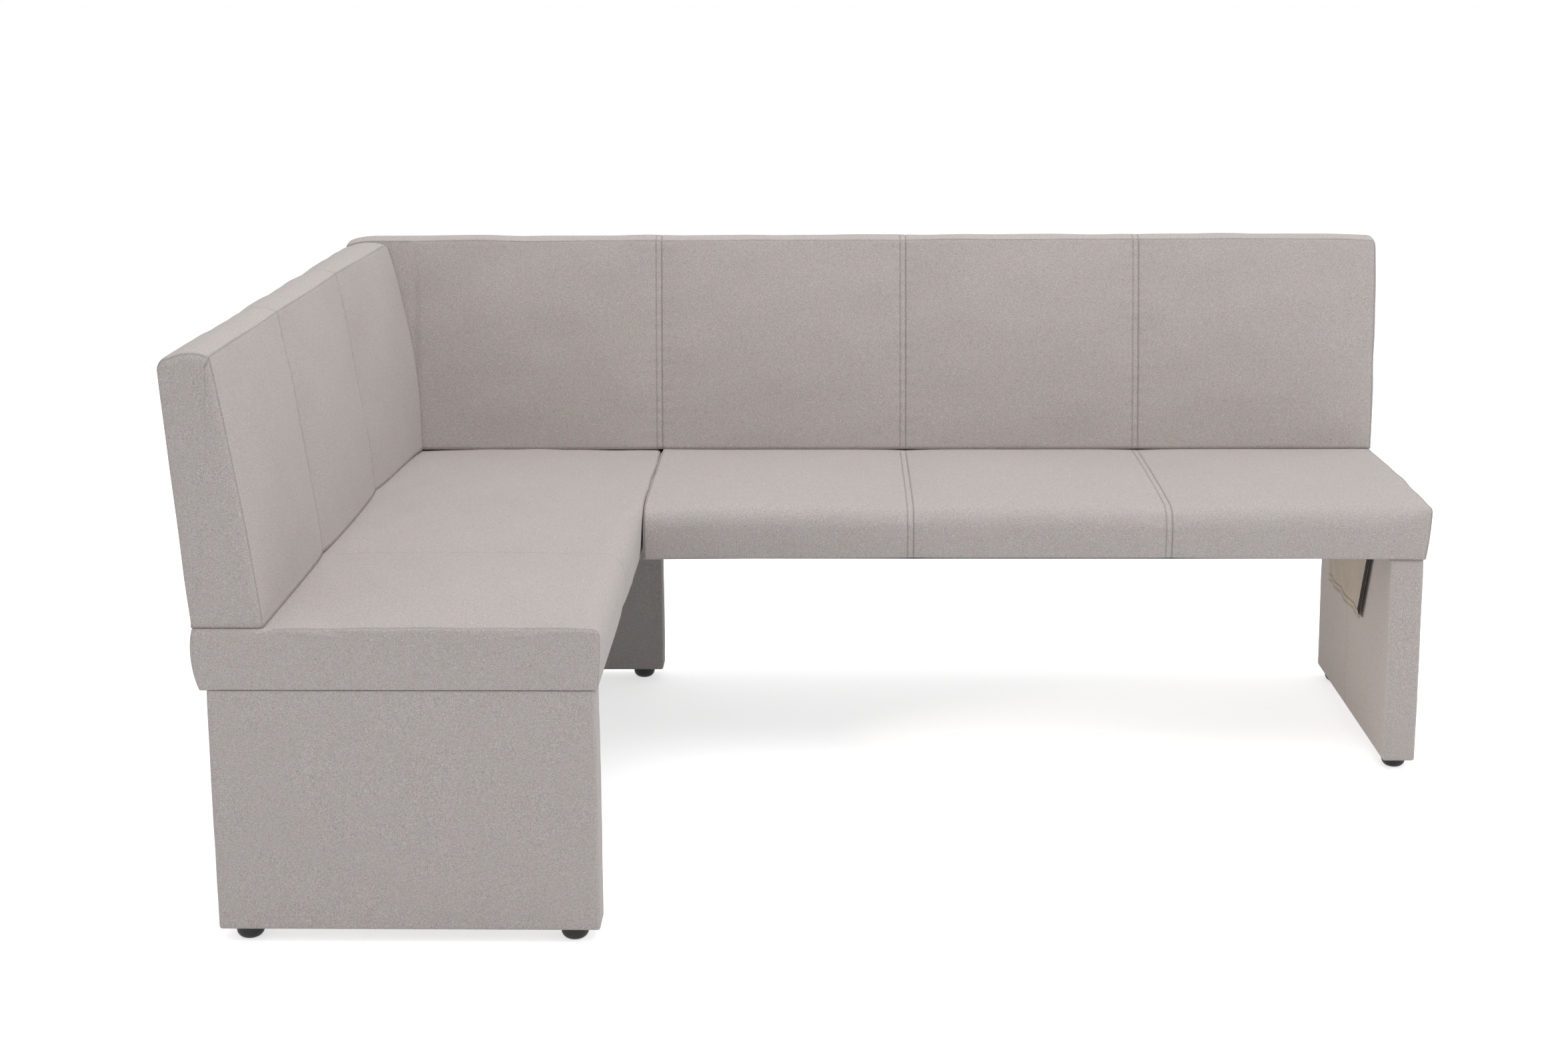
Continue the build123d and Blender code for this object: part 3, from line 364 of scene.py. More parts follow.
def makeBack(name, place, start, end, seams, flatFrom, corner, seed):
    p = backCushion
    w, loop, upper = backSkin(start, end, seams, flatFrom, corner)
    wide = np.broadcast_to(w[:, None], loop.shape[:2]).copy()
    if corner:  # this end is cut to lie along the leaning front of the other back
        lean = (p["foot"] + p["rearInset"] - p["top"] + p["overhang"]) / (backTop - p["topCrown"] - seatTop)
        reach = np.clip(1 - (w - start) / p["cutReach"], 0, 1)[:, None]
        foot = p["foot"] + p["rearInset"] + p["cutGap"] - lean * (loop[..., 1] - seatTop)
        wide = wide + reach * (foot - start)
    rise = np.clip((loop[..., 1] - seatTop) / (backTop - seatTop), 0, 1)
    freeEnd = end if corner else start
    pull = p["drawIn"] * (1 - rise) ** 1.5 * np.exp(-np.abs(w - freeEnd) / p["drawReach"])[:, None]
    wide = wide + (-pull if corner else pull)
    grid = place(loop[..., 0], loop[..., 1], wide)
    field, shade = sewnField(w, loop, upper, seams, p, seed)
    calm = np.ones(loop.shape[1])
    calm[:backRun["foot"] + 1] = 0
    # sunk seams round the ends, with painted shade along them
    away = np.abs(end - p["endSeam"] - w)[:, None]
    if not corner:
        away = np.minimum(np.abs(w - start - p["endSeam"])[:, None], away)
    ring = calm * np.exp(-(away / p["endSeamReach"]) ** 2)
    topSeam = np.zeros(loop.shape[1])  # a sunk seam between the front and the top strip, with painted shade along it
    topSeam[topSeamRow - 3:topSeamRow + 4] = [0.05, 0.25, 0.8, 1.0, 0.8, 0.3, 0.05]
    field = field * calm - p["endSeamDepth"] * ring - p["topSeamDepth"] * topSeam
    shade = np.maximum(np.maximum(shade * calm, sewing["dark"] * ring), sewing["dark"] * topSeam)
    if flatFrom:
        field *= np.where(w > flatFrom + p["flatEdge"], p["flatWrinkle"], 1.0)[:, None]
    grid, normal = pushOut(grid, field)
    along = place(0.0, 0.0, 1.0) - place(0.0, 0.0, 0.0)
    vertices, faces = loopSkin(grid, cushionCaps, p["capBulge"], along)
    seamPaths(grid, normal, w, seams, upper, p["doubleGap"])
    return meshPiece(name, vertices, faces, shade)


panels = dict(long=0.450, short=0.435)
longSeams = [panels["long"], 2 * panels["long"]]
shortSeams = [shortLength - 2 * panels["short"], shortLength - panels["short"]]
shortSeat = makeSeat("shortSeat", shortPlace, shortLength, shortSeams[1:], seatCushion["flat"], 11)
longSeat = makeSeat("longSeat", longPlace, longLength, longSeams, None, 12)
longBackStart = longHigh.x - longBackHigh.x
longBackEnd = longHigh.x - longBackLow.x
backFlat = longHigh.x - (rearX + backCushion["rearInset"] + backCushion["foot"] + backCushion["crown"])
longBackSeams = [*longSeams, longLength]
longBack = makeBack("longBack", longPlace, longBackStart, longBackEnd, longBackSeams, backFlat, False, 13)
shortBackStart = backCushion["top"] - backCushion["overhang"]
shortBack = makeBack("shortBack", shortPlace, shortBackStart, shortLength, shortSeams, None, True, 14)
print("cushions made")

legPanel = dict(radius=5 * mm, bottomRadius=5 * mm, swell=1.2 * mm, wrinkle=0.22 * mm, waves=22,
                shortest=60 * mm, longest=240 * mm, step=9 * mm, cornerSteps=7, footRun=0.012, footSteps=9,
                calmReach=0.02, seamFine=0.9 * mm, seamClear=4 * mm, seamReach=1.2 * mm, seamDepth=0.8 * mm,
                seamShade=0.5, caps=[0.97, 0.85, 0.5])


def legRing(halfX, halfY, middleY, seamY):  # corner centres and outward directions around a leg panel
    p = legPanel
    steps = p["cornerSteps"]
    corner = []
    for sx, sy, first in ((1, 1, 0), (-1, 1, 1), (-1, -1, 2), (1, -1, 3)):
        for turn in np.linspace(0, math.pi / 2, steps):
            angle = first * math.pi / 2 + turn
            centre = (sx * (halfX - p["radius"]), sy * (halfY - p["radius"]))
            corner.append((*centre, math.cos(angle), math.sin(angle)))
    ring = []
    for index, (cx, cy, dx, dy) in enumerate(corner):
        ring.append((cx, cy, dx, dy))
        if index % steps == steps - 1:  # long side to the next corner
            nx, ny = corner[(index + 1) % len(corner)][:2]
            gap = math.hypot(nx - cx, ny - cy)
            shares = np.linspace(0, 1, max(2, int(gap / p["step"])) + 1)[1:-1]
            if seamY and index == 2 * steps - 1:  # the inner face of the end leg has an upright seam
                seamShare = (seamY - middleY - cy) / (ny - cy)
                clear = shares[np.abs(shares - seamShare) * gap > p["seamClear"]]
                near = seamShare + np.arange(-3, 4) * p["seamFine"] / gap
                shares = np.unique(np.concatenate([clear, near]))
            ring += [(cx + (nx - cx) * share, cy + (ny - cy) * share, dx, dy) for share in shares]
    return np.array(ring)


def makeLeg(name, node, seed, seamY):  # a padded board: rounded rings from the floor edge up to the seat
    p = legPanel
    low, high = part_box(node)
    tall = high.z - low.z
    foot = np.linspace(0, p["footRun"], p["footSteps"])
    rise = np.unique(np.round(np.concatenate([foot, np.arange(p["footRun"], tall, p["step"]), [tall]]), 5))
    near = np.clip(p["bottomRadius"] - rise, 0, None)
    inset = p["bottomRadius"] - np.sqrt(np.maximum(p["bottomRadius"] ** 2 - near ** 2, 0))
    middleX = (low.x + high.x) / 2
    middleY = (low.y + high.y) / 2
    ring = legRing((high.x - low.x) / 2, (high.y - low.y) / 2, middleY, seamY)
    swell = p["swell"] * np.sin(np.clip(rise / rise[-1], 0, 1) * math.pi) ** 0.7
    reach = p["radius"] - inset + swell * 0.6
    x = middleX + ring[None, :, 0] + ring[None, :, 2] * reach[:, None]
    y = middleY + ring[None, :, 1] + ring[None, :, 3] * reach[:, None]
    z = np.broadcast_to(low.z + rise[:, None], x.shape)
    grid = np.stack([x, y, z], axis=-1)
    field = p["wrinkle"] * rippleField(grid, seed, p["waves"], p["shortest"], p["longest"])
    field *= np.clip(rise / p["calmReach"], 0.2, 1)[:, None]
    field *= np.clip((rise[-1] - rise) / p["calmReach"], 0, 1)[:, None]
    shade = np.zeros(field.shape)
    # the inner face's upright seam is sunk and carries painted shade
    if seamY:
        inner = ring[:, 2] < -0.9
        shade += inner * np.exp(-((grid[..., 1] - seamY) / p["seamReach"]) ** 2)
    grid, _ = pushOut(grid, field - p["seamDepth"] * shade)
    vertices, faces = loopSkin(grid, p["caps"], 0.0, np.array([0, 0, 1.0]))
    return meshPiece(name, vertices, faces, p["seamShade"] * shade)


legs = {name: makeLeg(name + "LegPanel", name + "_leg_cover", seed, seamY)
        for name, seed, seamY in (("front", 21, None), ("corner", 22, None), ("end", 23, 0.38))}
print("leg panels made")


def addNode(tree, kind, sockets=None, **settings):  # a node with its settings and the values of its sockets
    node = tree.nodes.new(kind)
    for setting, value in settings.items():
        setattr(node, setting, value)
    for socket, value in (sockets or {}).items():
        node.inputs[socket].default_value = value
    return node


def wire(tree, *runs):
    for source, target in runs:
        tree.links.new(source, target)


def plain(red, green, blue):  # screen colour to scene colour, without see-through
    scaled = [c / 255 for c in (red, green, blue)]
    return (*(c / 12.92 if c < 0.0405 else ((c + 0.055) / 1.055) ** 2.4 for c in scaled), 1)


def nodeMaterial(name, middle, dark, light, fleckScale, meltScale, roughness, bump, sheen=0.0, metal=0.0,
                 specular=0.3, weave=1.0, melt=0.06, flecked=0.0):
    material = bpy.data.materials.new(name)
    material.use_nodes = True
    tree = material.node_tree
    shader = tree.nodes["Principled BSDF"]
    place = tree.nodes.new("ShaderNodeTexCoord").outputs["Object"]
    # level yarns run longer than they are high, and upright yarns cross them
    level = addNode(tree, "ShaderNodeVectorMath", {1: (1, 1, weave)}, operation="MULTIPLY")
    upright = addNode(tree, "ShaderNodeVectorMath", {1: (weave, weave, 1)}, operation="MULTIPLY")
    fine = addNode(tree, "ShaderNodeTexNoise", {"Scale": fleckScale, "Detail": 3.0, "Roughness": 0.7})
    cross = addNode(tree, "ShaderNodeTexNoise", {"Scale": fleckScale, "Detail": 2.0})
    both = addNode(tree, "ShaderNodeMath", operation="ADD")
    yarn = addNode(tree, "ShaderNodeMath", {1: 0.5}, operation="MULTIPLY")
    wire(tree, (place, level.inputs[0]), (place, upright.inputs[0]),
         (level.outputs["Vector"], fine.inputs["Vector"]), (upright.outputs["Vector"], cross.inputs["Vector"]),
         (fine.outputs["Fac"], both.inputs[0]), (cross.outputs["Fac"], both.inputs[1]),
         (both.outputs["Value"], yarn.inputs[0]))
    # three tones of yarn, with painted shade along the seams and a little uneven from place to place
    ramp = tree.nodes.new("ShaderNodeValToRGB")
    tones = ramp.color_ramp.elements
    tones[0].position = 0.30
    tones[1].position = 0.70
    tones[0].color = plain(*dark)
    tones[1].color = plain(*light)
    tones.new(0.5).color = plain(*middle)
    broad = addNode(tree, "ShaderNodeTexNoise", {"Scale": meltScale, "Detail": 4.0})
    uneven = addNode(tree, "ShaderNodeMapRange", {"From Min": 0.3, "From Max": 0.7, "To Min": 1 - melt,
                                                  "To Max": 1 + melt})
    # the seam attribute holds painted shade for the sewn grooves and darkens the colour there
    sewn = addNode(tree, "ShaderNodeAttribute", attribute_name="seam")
    paintedSeamShade = addNode(tree, "ShaderNodeMath", {1: -0.38, 2: 1.0}, operation="MULTIPLY_ADD")
    bright = addNode(tree, "ShaderNodeMath", operation="MULTIPLY")
    shade = addNode(tree, "ShaderNodeVectorMath", operation="SCALE")
    wire(tree, (place, broad.inputs["Vector"]), (broad.outputs["Fac"], uneven.inputs["Value"]),
         (sewn.outputs["Fac"], paintedSeamShade.inputs[0]), (paintedSeamShade.outputs["Value"], bright.inputs[0]),
         (uneven.outputs["Result"], bright.inputs[1]), (yarn.outputs["Value"], ramp.inputs["Fac"]),
         (ramp.outputs["Color"], shade.inputs[0]), (bright.outputs["Value"], shade.inputs["Scale"]))
    # single fibres of other dyes
    tint = addNode(tree, "ShaderNodeTexNoise", {"Scale": fleckScale * 0.6})
    hue = addNode(tree, "ShaderNodeVectorMath", {1: (flecked,) * 3, 2: (1 - flecked / 2,) * 3},
                  operation="MULTIPLY_ADD")
    dyed = addNode(tree, "ShaderNodeVectorMath", operation="MULTIPLY")
    wire(tree, (place, tint.inputs["Vector"]), (tint.outputs["Color"], hue.inputs[0]),
         (hue.outputs["Vector"], dyed.inputs[0]), (shade.outputs["Vector"], dyed.inputs[1]),
         (dyed.outputs["Vector"], shader.inputs["Base Color"]))
    cells = addNode(tree, "ShaderNodeTexVoronoi", {"Scale": fleckScale * 1.4})
    height = addNode(tree, "ShaderNodeMath", {1: 0.6}, operation="MULTIPLY_ADD")
    relief = addNode(tree, "ShaderNodeBump", {"Strength": bump, "Distance": 0.0006})
    wire(tree, (place, cells.inputs["Vector"]), (yarn.outputs["Value"], height.inputs[0]),
         (cells.outputs["Distance"], height.inputs[2]), (height.outputs["Value"], relief.inputs["Height"]),
         (relief.outputs["Normal"], shader.inputs["Normal"]))
    shader.inputs["Roughness"].default_value = roughness
    shader.inputs["Metallic"].default_value = metal
    shader.inputs["Specular IOR Level"].default_value = specular
    shader.inputs["Sheen Weight"].default_value = sheen
    shader.inputs["Sheen Roughness"].default_value = 0.5
    return material


finishes = {
    "upholstery": nodeMaterial("upholsteryWeave", (182, 175, 172), (142, 134, 131), (217, 212, 209), 540, 3.5,
                               0.92, 0.35, sheen=0.1, specular=0.12, weave=2.2, melt=0.015, flecked=0.22),
    "foam": nodeMaterial("foam", (226, 214, 178), (210, 196, 156), (236, 226, 196), 300, 12, 0.95, 0.4),
    "felt": nodeMaterial("felt", (150, 150, 152), (110, 112, 118), (190, 188, 186), 500, 14, 0.97, 0.5),
    "lining": nodeMaterial("liningCloth", (62, 61, 61), (48, 47, 48), (78, 77, 76), 700, 10, 0.95, 0.4),
    "timber": nodeMaterial("timber", (206, 172, 126), (186, 148, 102), (222, 192, 150), 60, 5, 0.6, 0.2),
    "board": nodeMaterial("board", (196, 164, 122), (170, 136, 96), (216, 188, 148), 140, 6, 0.75, 0.3),
    "spring_steel": nodeMaterial("springSteel", (96, 98, 104), (80, 82, 88), (116, 118, 124), 200, 9,
                                 0.38, 0.1, metal=1.0, specular=0.5),
    "zinc_steel": nodeMaterial("zincSteel", (176, 178, 182), (160, 162, 168), (194, 196, 200), 150, 8,
                               0.34, 0.1, metal=1.0, specular=0.5),
    "glide_plastic": nodeMaterial("glidePlastic", (26, 26, 27), (19, 19, 20), (36, 36, 37), 900, 20,
                                  0.5, 0.12, specular=0.4),
    # the flap's own cloth; its little extra darkness and warmth over the upholstery is painted shade for where
    # it hangs under the seat
    "flap_cloth": nodeMaterial("flapCloth", (178, 168, 156), (158, 148, 136), (196, 187, 176), 520, 12,
                               0.93, 0.4, sheen=0.08, specular=0.12),
    "tape": nodeMaterial("hookTape", (30, 30, 31), (16, 16, 17), (52, 52, 53), 1500, 30, 0.85, 0.8),
}
thread = nodeMaterial("thread", (168, 162, 158), (150, 144, 140), (184, 178, 174), 1500, 40, 0.8, 0.3)
darkWire = nodeMaterial("darkWire", (58, 56, 54), (44, 42, 41), (76, 74, 72), 600, 30, 0.45, 0.1, metal=0.8)
print("materials made")

nodeSlots = {part["node"]: part["material_slot"] for part in frame["record"]["subparts"]}
for name, shown in frame["nodes"].items():
    shown.data.materials.clear()
    shown.data.materials.append(finishes[nodeSlots[name]])


def dress(piece, body, slot, *nodes):  # finish, body and the CAD nodes that a piece stands for
    piece.data.materials.clear()
    piece.data.materials.append(finishes[slot])
    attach(piece, body)
    if nodes:
        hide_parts(*nodes)
    return piece


for piece, kind in ((shortSeat, "short_seat"), (longSeat, "long_seat")):
    dress(piece, "bench", "upholstery", kind + "_cover", kind + "_foam", kind + "_felt")
for piece, kind in ((shortBack, "short_back"), (longBack, "long_back")):
    dress(piece, "bench", "upholstery", kind + "_cover", kind + "_foam")
for name, piece in legs.items():
    dress(piece, "bench", "upholstery", name + "_leg_cover")


def sheetSkin(name, middle, half, normal, shade=None):  # a thin closed cloth from points and half thicknesses
    rows, columns = middle.shape[:2]
    front = middle + normal * half[..., None]
    rear = middle - normal * half[..., None]
    vertices = list(front.reshape(-1, 3)) + list(rear.reshape(-1, 3))
    offset = rows * columns
    faces = []
    for r in range(rows - 1):
        for c in range(columns - 1):
            i = r * columns + c
            faces.append((i, i + 1, i + columns + 1, i + columns))
            faces.append((offset + i, offset + i + columns, offset + i + columns + 1, offset + i + 1))
    rim = [c for c in range(columns)]
    rim += [r * columns + columns - 1 for r in range(1, rows)]
    rim += [(rows - 1) * columns + c for c in range(columns - 2, -1, -1)]
    rim += [r * columns for r in range(rows - 2, 0, -1)]
    for i, j in zip(rim, rim[1:] + rim[:1]):
        faces.append((j, i, offset + i, offset + j))
    return meshPiece(name, vertices, faces, None if shade is None else np.stack([shade, shade]))


flapCloth = dict(
    x=917 * mm, hinge=385.6 * mm, drop=160 * mm, topRear=556 * mm, topFront=178 * mm, bottomRear=513 * mm,
    bottomFront=259 * mm, folds=3, fold=2.4 * mm, margin=18 * mm, rearCalm=30 * mm, frontCalm=25 * mm,
    thickness=1.0 * mm, hem=17 * mm, hemExtra=1.2 * mm, hemSeams=(0.12, 0.7), seamDepth=0.35 * mm,
    pucker=0.7 * mm, puckerPitch=9.5 * mm, across=170, down=110)


def flapPoint(a, b):  # middle of the cloth: a runs from its rear edge to its front edge, b down from the hinge
    p = flapCloth
    top = p["topRear"] + (p["topFront"] - p["topRear"]) * a
    bottom = p["bottomRear"] + (p["bottomFront"] - p["bottomRear"]) * a
    y = top + (bottom - top) * b
    width = (p["topRear"] - p["topFront"]) * (1 - b) + (p["bottomRear"] - p["bottomFront"]) * b
    calm = np.clip(((1 - a) * width - p["margin"]) / p["rearCalm"], 0, 1)
    calm = calm * np.clip(a * width / p["frontCalm"], 0, 1)
    x = p["x"] + p["fold"] * b ** 1.2 * calm * np.sin(2 * math.pi * p["folds"] * a + 0.8 * np.sin(5 * a))
    hemShare = np.clip(1 - (1 - b) * p["drop"] / p["hem"], 0, 1) ** 0.5
    ruck = np.sin(2 * math.pi * y / p["puckerPitch"]) * np.clip(calm + 0.3, 0, 1) * 0.6
    x = x + p["pucker"] * hemShare * ruck
    z = p["hinge"] - p["drop"] * b
    return np.stack(np.broadcast_arrays(x, y, z), axis=-1)


def makeFlap():
    p = flapCloth
    a, b = np.meshgrid(np.linspace(0, 1, p["across"]), np.linspace(0, 1, p["down"]))
    cloth = flapPoint(a, b)
    hemShare = np.clip(1 - (1 - b) * p["drop"] / p["hem"], 0, 1)
    half = p["thickness"] / 2 + p["hemExtra"] / 2 * np.clip(hemShare * 6, 0, 1)
    # the hem seams are thinned and carry painted shade along them
    sewn = np.zeros(half.shape)
    for seam in p["hemSeams"]:
        half = half - p["seamDepth"] * np.exp(-((hemShare - seam) / 0.06) ** 2)
        sewn = sewn + np.exp(-((hemShare - seam) / 0.07) ** 2)
    normal = np.cross(np.gradient(cloth, axis=1), np.gradient(cloth, axis=0))
    normal /= np.linalg.norm(normal, axis=-1, keepdims=True)
    return dress(sheetSkin("flapSheet", cloth, half, normal, sewn), "flap", "flap_cloth", "access_flap")


tapeStrip = dict(width=14 * mm, thickness=1.4 * mm, edge=-1 * mm, ends=11 * mm, rows=90, columns=16,
                 rough=0.12 * mm, waves=20, shortest=1.5 * mm, longest=4 * mm)


def makeTape():  # lies along the flap's front edge
    p = tapeStrip
    low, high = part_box("flap_hook_tape")
    frontTop = np.array([flapCloth["topFront"], flapCloth["hinge"]])
    frontBottom = np.array([flapCloth["bottomFront"], flapCloth["hinge"] - flapCloth["drop"]])
    edgeRun = frontBottom - frontTop
    edgeLength = np.linalg.norm(edgeRun)
    edgeRun /= edgeLength
    inward = np.array([-edgeRun[1], edgeRun[0]])
    inward *= np.sign(inward[0])
    along, across = np.meshgrid(np.linspace(p["ends"], edgeLength - p["ends"], p["rows"]),
                                np.linspace(p["edge"], p["edge"] + p["width"], p["columns"]), indexing="ij")
    flat = frontTop + along[..., None] * edgeRun + across[..., None] * inward
    middle = np.full(along.shape, (low.x + high.x) / 2)
    strip = np.stack([middle, flat[..., 0], flat[..., 1]], axis=-1)
    half = p["thickness"] / 2 + p["rough"] * rippleField(strip, 31, p["waves"], p["shortest"], p["longest"])
    skin = sheetSkin("hookTape", strip, half, np.broadcast_to([-1.0, 0, 0], strip.shape))
    return dress(skin, "flap", "tape", "flap_hook_tape")


flap = makeFlap()
hookTape = makeTape()

liningSheet = dict(thickness=0.6 * mm, sag=0.35 * mm, sagReach=60 * mm, waves=16, shortest=60 * mm,
                   longest=200 * mm, step=10 * mm, stapleEdge=9 * mm, stapleSink=0.1 * mm,
                   stapleRun=(0.02, 0.98), staplePoints=40)
staplePaths = []


def makeLining(kind):
    p = liningSheet
    node = kind + "_seat_lining"
    low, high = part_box(node)
    gx, gy = np.meshgrid(np.linspace(low.x, high.x, int((high.x - low.x) / p["step"])),
                         np.linspace(low.y, high.y, int((high.y - low.y) / p["step"])))
    rim = np.minimum(np.minimum(gx - low.x, high.x - gx), np.minimum(gy - low.y, high.y - gy))
    wave = rippleField(np.stack([gx, gy, gx * 0], axis=-1), 41, p["waves"], p["shortest"], p["longest"])
    sag = p["sag"] * np.clip(rim / p["sagReach"], 0, 1) * (0.5 + 0.5 * np.clip(wave, -1, 1))
    gz = high.z - p["thickness"] / 2 - sag
    skin = sheetSkin(kind + "Lining", np.stack([gx, gy, gz], axis=-1), np.full(gx.shape, p["thickness"] / 2),
                     np.broadcast_to([0, 0, -1.0], gx.shape + (3,)))
    lining = dress(skin, "bench", "lining", node)
    left = low.x + p["stapleEdge"]
    right = high.x - p["stapleEdge"]
    front = low.y + p["stapleEdge"]
    rear = high.y - p["stapleEdge"]
    corners = [(left, front), (right, front), (right, rear), (left, rear)]
    level = high.z - p["thickness"] - p["stapleSink"]
    share = np.linspace(*p["stapleRun"], p["staplePoints"])[:, None]
    for (x0, y0), (x1, y1) in zip(corners, corners[1:] + corners[:1]):
        staplePaths.append(np.array([x0, y0, level]) + share * np.array([x1 - x0, y1 - y0, 0]))


for kind in ("short", "long"):
    makeLining(kind)
print("flap and linings made")


def threadTree():  # short rounded threads laid end to end along lines
    tree = bpy.data.node_groups.new("threadRun", "GeometryNodeTree")
    face = tree.interface
    face.new_socket("Geometry", in_out="INPUT", socket_type="NodeSocketGeometry")
    for socket in ("Pitch", "Length", "Thickness"):
        face.new_socket(socket, in_out="INPUT", socket_type="NodeSocketFloat")
    face.new_socket("Finish", in_out="INPUT", socket_type="NodeSocketMaterial")
    face.new_socket("Geometry", in_out="OUTPUT", socket_type="NodeSocketGeometry")
    start = tree.nodes.new("NodeGroupInput").outputs
    end = tree.nodes.new("NodeGroupOutput")
    curve = addNode(tree, "GeometryNodeMeshToCurve")
    spread = addNode(tree, "GeometryNodeResampleCurve", mode="LENGTH")
    tangent = addNode(tree, "GeometryNodeInputTangent")
    turn = addNode(tree, "FunctionNodeAlignRotationToVector", axis="Z")
    bead = addNode(tree, "GeometryNodeMeshUVSphere", {"Segments": 6, "Rings": 4, "Radius": 0.5})
    size = addNode(tree, "ShaderNodeCombineXYZ")
    laid = addNode(tree, "GeometryNodeInstanceOnPoints")
    real = addNode(tree, "GeometryNodeRealizeInstances")
    soft = addNode(tree, "GeometryNodeSetShadeSmooth")
    dye = addNode(tree, "GeometryNodeSetMaterial")
    wire(tree, (start["Geometry"], curve.inputs["Mesh"]), (curve.outputs["Curve"], spread.inputs["Curve"]),
         (start["Pitch"], spread.inputs["Length"]), (spread.outputs["Curve"], laid.inputs["Points"]),
         (tangent.outputs["Tangent"], turn.inputs["Vector"]),
         (turn.outputs["Rotation"], laid.inputs["Rotation"]),
         (start["Thickness"], size.inputs["X"]), (start["Thickness"], size.inputs["Y"]),
         (start["Length"], size.inputs["Z"]), (size.outputs["Vector"], laid.inputs["Scale"]),
         (bead.outputs["Mesh"], laid.inputs["Instance"]), (laid.outputs["Instances"], real.inputs["Geometry"]),
         (real.outputs["Geometry"], soft.inputs["Geometry"]), (soft.outputs[0], dye.inputs["Geometry"]),
         (start["Finish"], dye.inputs["Material"]), (dye.outputs["Geometry"], end.inputs["Geometry"]))
    return tree


threadRun = threadTree()


def threadPiece(name, paths, sizes, finish, body):
    vertices, edges = [], []
    for path in paths:
        first = len(vertices)
        vertices += [tuple(point) for point in path]
        edges += [(first + i, first + i + 1) for i in range(len(path) - 1)]
    mesh = bpy.data.meshes.new(name + "Line")
    mesh.from_pydata(vertices, edges, [])
    line = bpy.data.objects.new(name + "Line", mesh)
    scene.collection.objects.link(line)
    run = line.modifiers.new("threads", "NODES")
    run.node_group = threadRun
    values = {"Pitch": sizes["pitch"], "Length": sizes["length"], "Thickness": sizes["thickness"],
              "Finish": finish}
    for item in threadRun.interface.items_tree:
        if item.in_out == "INPUT" and item.name in values:
            run[item.identifier] = values[item.name]
    ready = line.evaluated_get(bpy.context.evaluated_depsgraph_get())
    piece = bpy.data.objects.new(name, bpy.data.meshes.new_from_object(ready))
    piece.data.name = name
    scene.collection.objects.link(piece)
    bpy.data.objects.remove(line)
    piece.data.materials.clear()
    piece.data.materials.append(finish)
    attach(piece, body)


seamThread = dict(pitch=5.2 * mm, length=4.2 * mm, thickness=0.75 * mm)
liningStaple = dict(pitch=45 * mm, length=12 * mm, thickness=1.1 * mm)
hemThread = dict(pitch=4.2 * mm, length=3.4 * mm, thickness=0.8 * mm, lift=0.45 * mm, ends=(0.015, 0.985),
                 points=150)
flapStaple = dict(pitch=20 * mm, length=11 * mm, thickness=1.2 * mm, lift=0.3 * mm, spots=(0.06, 0.12, 0.185),
                  reach=0.03, down=0.05, points=6)
hemPaths = []
for share in flapCloth["hemSeams"]:
    down = 1 - (1 - share) * flapCloth["hem"] / flapCloth["drop"]
    line = flapPoint(np.linspace(*hemThread["ends"], hemThread["points"]), np.full(hemThread["points"], down))
    lift = np.array([flapCloth["thickness"] / 2 + hemThread["lift"], 0, 0])
    hemPaths += [line - lift, line + lift]  # a row on each face
flapStaplePaths = []
for spot in flapStaple["spots"]:
    along = np.linspace(spot, spot + flapStaple["reach"], flapStaple["points"])
    line = flapPoint(along, np.full(flapStaple["points"], flapStaple["down"]))
    flapStaplePaths.append(line - np.array([flapCloth["thickness"] / 2 + flapStaple["lift"], 0, 0]))
threadPiece("seamStitches", stitchPaths, seamThread, thread, "bench")
threadPiece("liningStaples", staplePaths, liningStaple, finishes["zinc_steel"], "bench")
threadPiece("flapStitches", hemPaths, hemThread, thread, "flap")
threadPiece("flapStaples", flapStaplePaths, flapStaple, darkWire, "flap")
print("stitches and staples made")

# floor, light and camera
studio = dict(floor=40.0, floorTone=(0.93, 0.93, 0.93, 1), glow=0.6, sky=0.60, white=(1, 1, 1, 1))


def seenWhite(tree):  # one for rays that show the background: straight, mirrored or through glass
    rays = addNode(tree, "ShaderNodeLightPath").outputs
    shown = rays["Is Camera Ray"]
    for kind in ("Is Glossy Ray", "Is Transmission Ray"):
        added = addNode(tree, "ShaderNodeMath", operation="ADD")
        wire(tree, (shown, added.inputs[0]), (rays[kind], added.inputs[1]))
        shown = added.outputs["Value"]
    return shown


def makeFloor():
    side = studio["floor"]
    mesh = bpy.data.meshes.new("floor")
    corners = [(-side, -side, 0), (side, -side, 0), (side, side, 0), (-side, side, 0)]
    mesh.from_pydata(corners, [], [(0, 1, 2, 3)])
    floor = bpy.data.objects.new("floor", mesh)
    scene.collection.objects.link(floor)
    finish = bpy.data.materials.new("paleFloor")
    finish.use_nodes = True
    tree = finish.node_tree
    shader = tree.nodes["Principled BSDF"]
    shader.inputs["Base Color"].default_value = studio["floorTone"]
    shader.inputs["Roughness"].default_value = 0.9
    shader.inputs["Specular IOR Level"].default_value = 0.1
    lift = addNode(tree, "ShaderNodeMath", {1: studio["glow"]}, operation="MULTIPLY")
    glow = addNode(tree, "ShaderNodeEmission", {"Color": studio["white"]})  # lights nothing else
    both = addNode(tree, "ShaderNodeAddShader")
    wire(tree, (seenWhite(tree), lift.inputs[0]), (lift.outputs["Value"], glow.inputs["Strength"]),
         (shader.outputs["BSDF"], both.inputs[0]), (glow.outputs["Emission"], both.inputs[1]),
         (both.outputs["Shader"], tree.nodes["Material Output"].inputs["Surface"]))
    mesh.materials.append(finish)


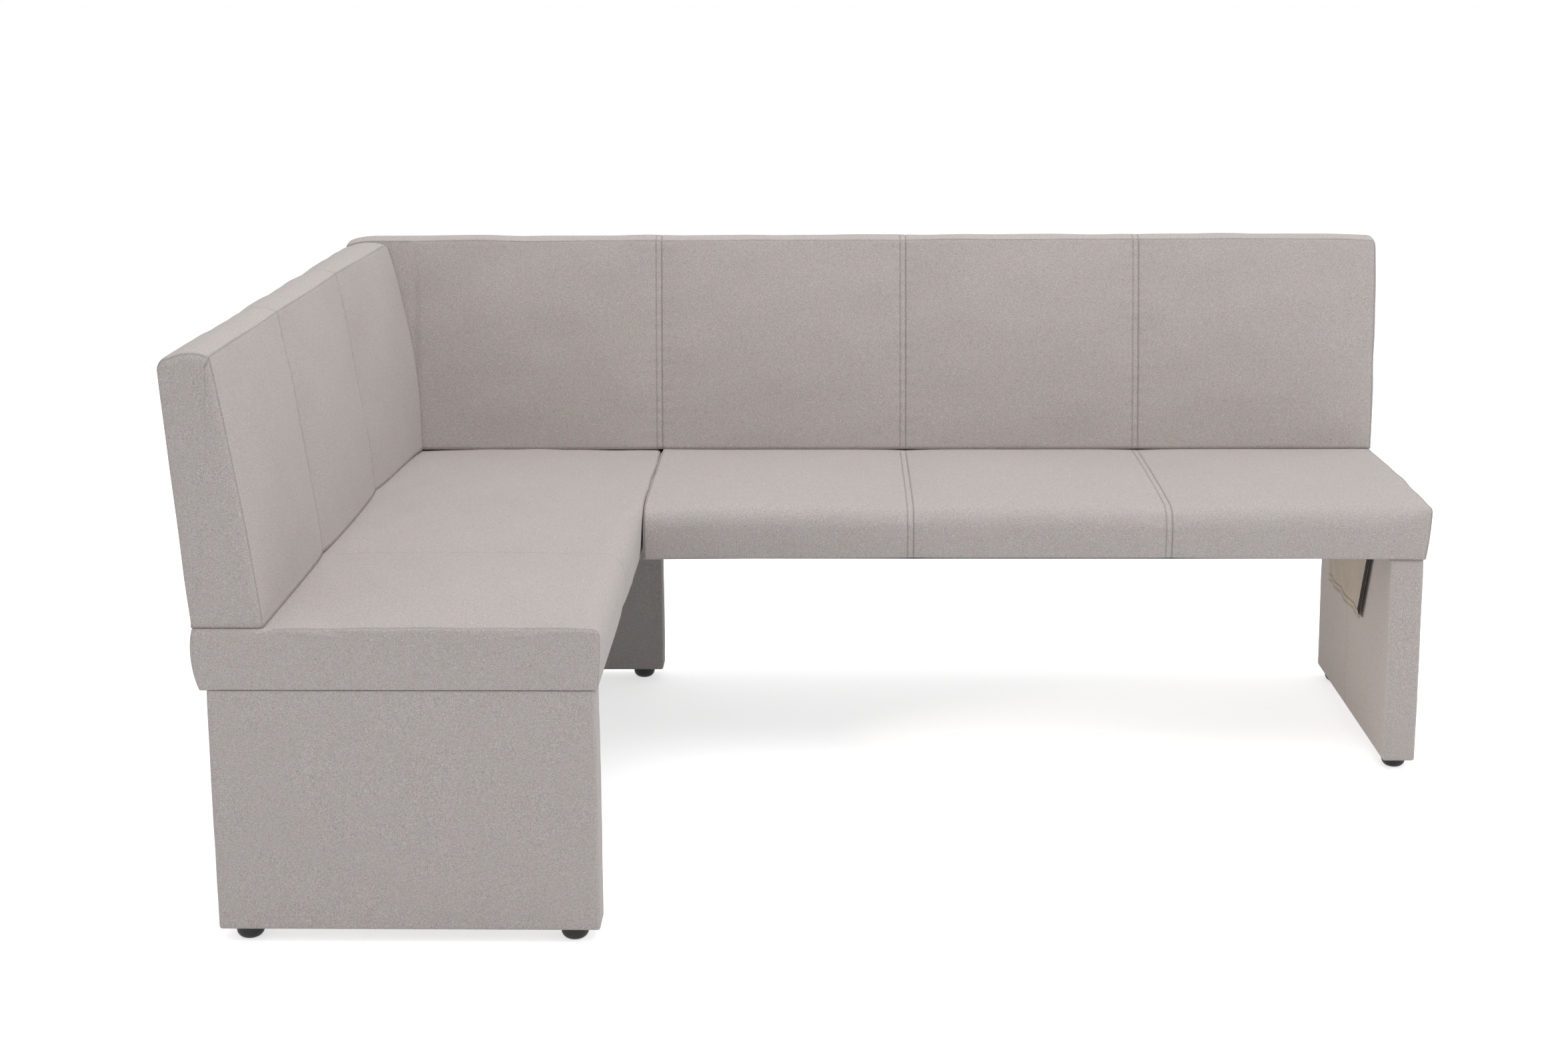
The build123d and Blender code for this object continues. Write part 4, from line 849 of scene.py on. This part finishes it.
def makeSky():
    world = bpy.data.worlds.new("studioSky")
    world.use_nodes = True
    scene.world = world
    tree = world.node_tree
    sky = tree.nodes["Background"]
    sky.inputs["Color"].default_value = studio["white"]
    sky.inputs["Strength"].default_value = studio["sky"]
    white = addNode(tree, "ShaderNodeBackground", {"Color": studio["white"], "Strength": 1.0})
    choose = addNode(tree, "ShaderNodeMixShader")
    wire(tree, (seenWhite(tree), choose.inputs["Fac"]), (sky.outputs["Background"], choose.inputs[1]),
         (white.outputs["Background"], choose.inputs[2]),
         (choose.outputs["Shader"], tree.nodes["World Output"].inputs["Surface"]))


def softLamp(name, place, aim, power, size, tint=(1, 1, 1), spread=180):
    lamp = bpy.data.lights.new(name, "AREA")
    lamp.energy = power
    lamp.color = tint
    lamp.shape = "DISK"
    lamp.size = size
    lamp.spread = math.radians(spread)
    holder = bpy.data.objects.new(name, lamp)
    holder.location = place
    holder.rotation_euler = (Vector(aim) - Vector(place)).to_track_quat("-Z", "Y").to_euler()
    holder.visible_camera = False
    scene.collection.objects.link(holder)


makeFloor()
makeSky()
softLamp("topLamp", place=(0.2, -0.5, 4.4), aim=(0, 0, 0.4), power=95, size=4.0)
softLamp("rightLamp", place=(4.2, -0.9, 1.9), aim=(-0.6, 0, 0.6), power=27, size=2.5)
softLamp("frontLamp", place=(-2.2, -3.4, 1.0), aim=(-0.7, -0.6, 0.4), power=5, size=1.2)
softLamp("underLamp", place=(-0.2, 0.25, 0.2), aim=(0.9, 0.3, 0.2), power=0.5, size=0.25, tint=(1, 0.9, 0.8),
         spread=60)  # low light on the end leg's inner face

photoView = dict(lens=52.8365, sensor=36, shiftUp=-0.08, farthest=60, place=(-0.04006, -3.83946, 1.43803),
                 turn=(1.37875, 0.00588, 0.02258))
lens = bpy.data.cameras.new("photoView")
lens.lens = photoView["lens"]
lens.sensor_width = photoView["sensor"]
lens.sensor_fit = "HORIZONTAL"
lens.shift_y = photoView["shiftUp"]
lens.clip_end = photoView["farthest"]
camera = bpy.data.objects.new("photoView", lens)
camera.location = photoView["place"]
camera.rotation_euler = photoView["turn"]
scene.collection.objects.link(camera)
scene.camera = camera
scene.view_settings.view_transform = "Standard"
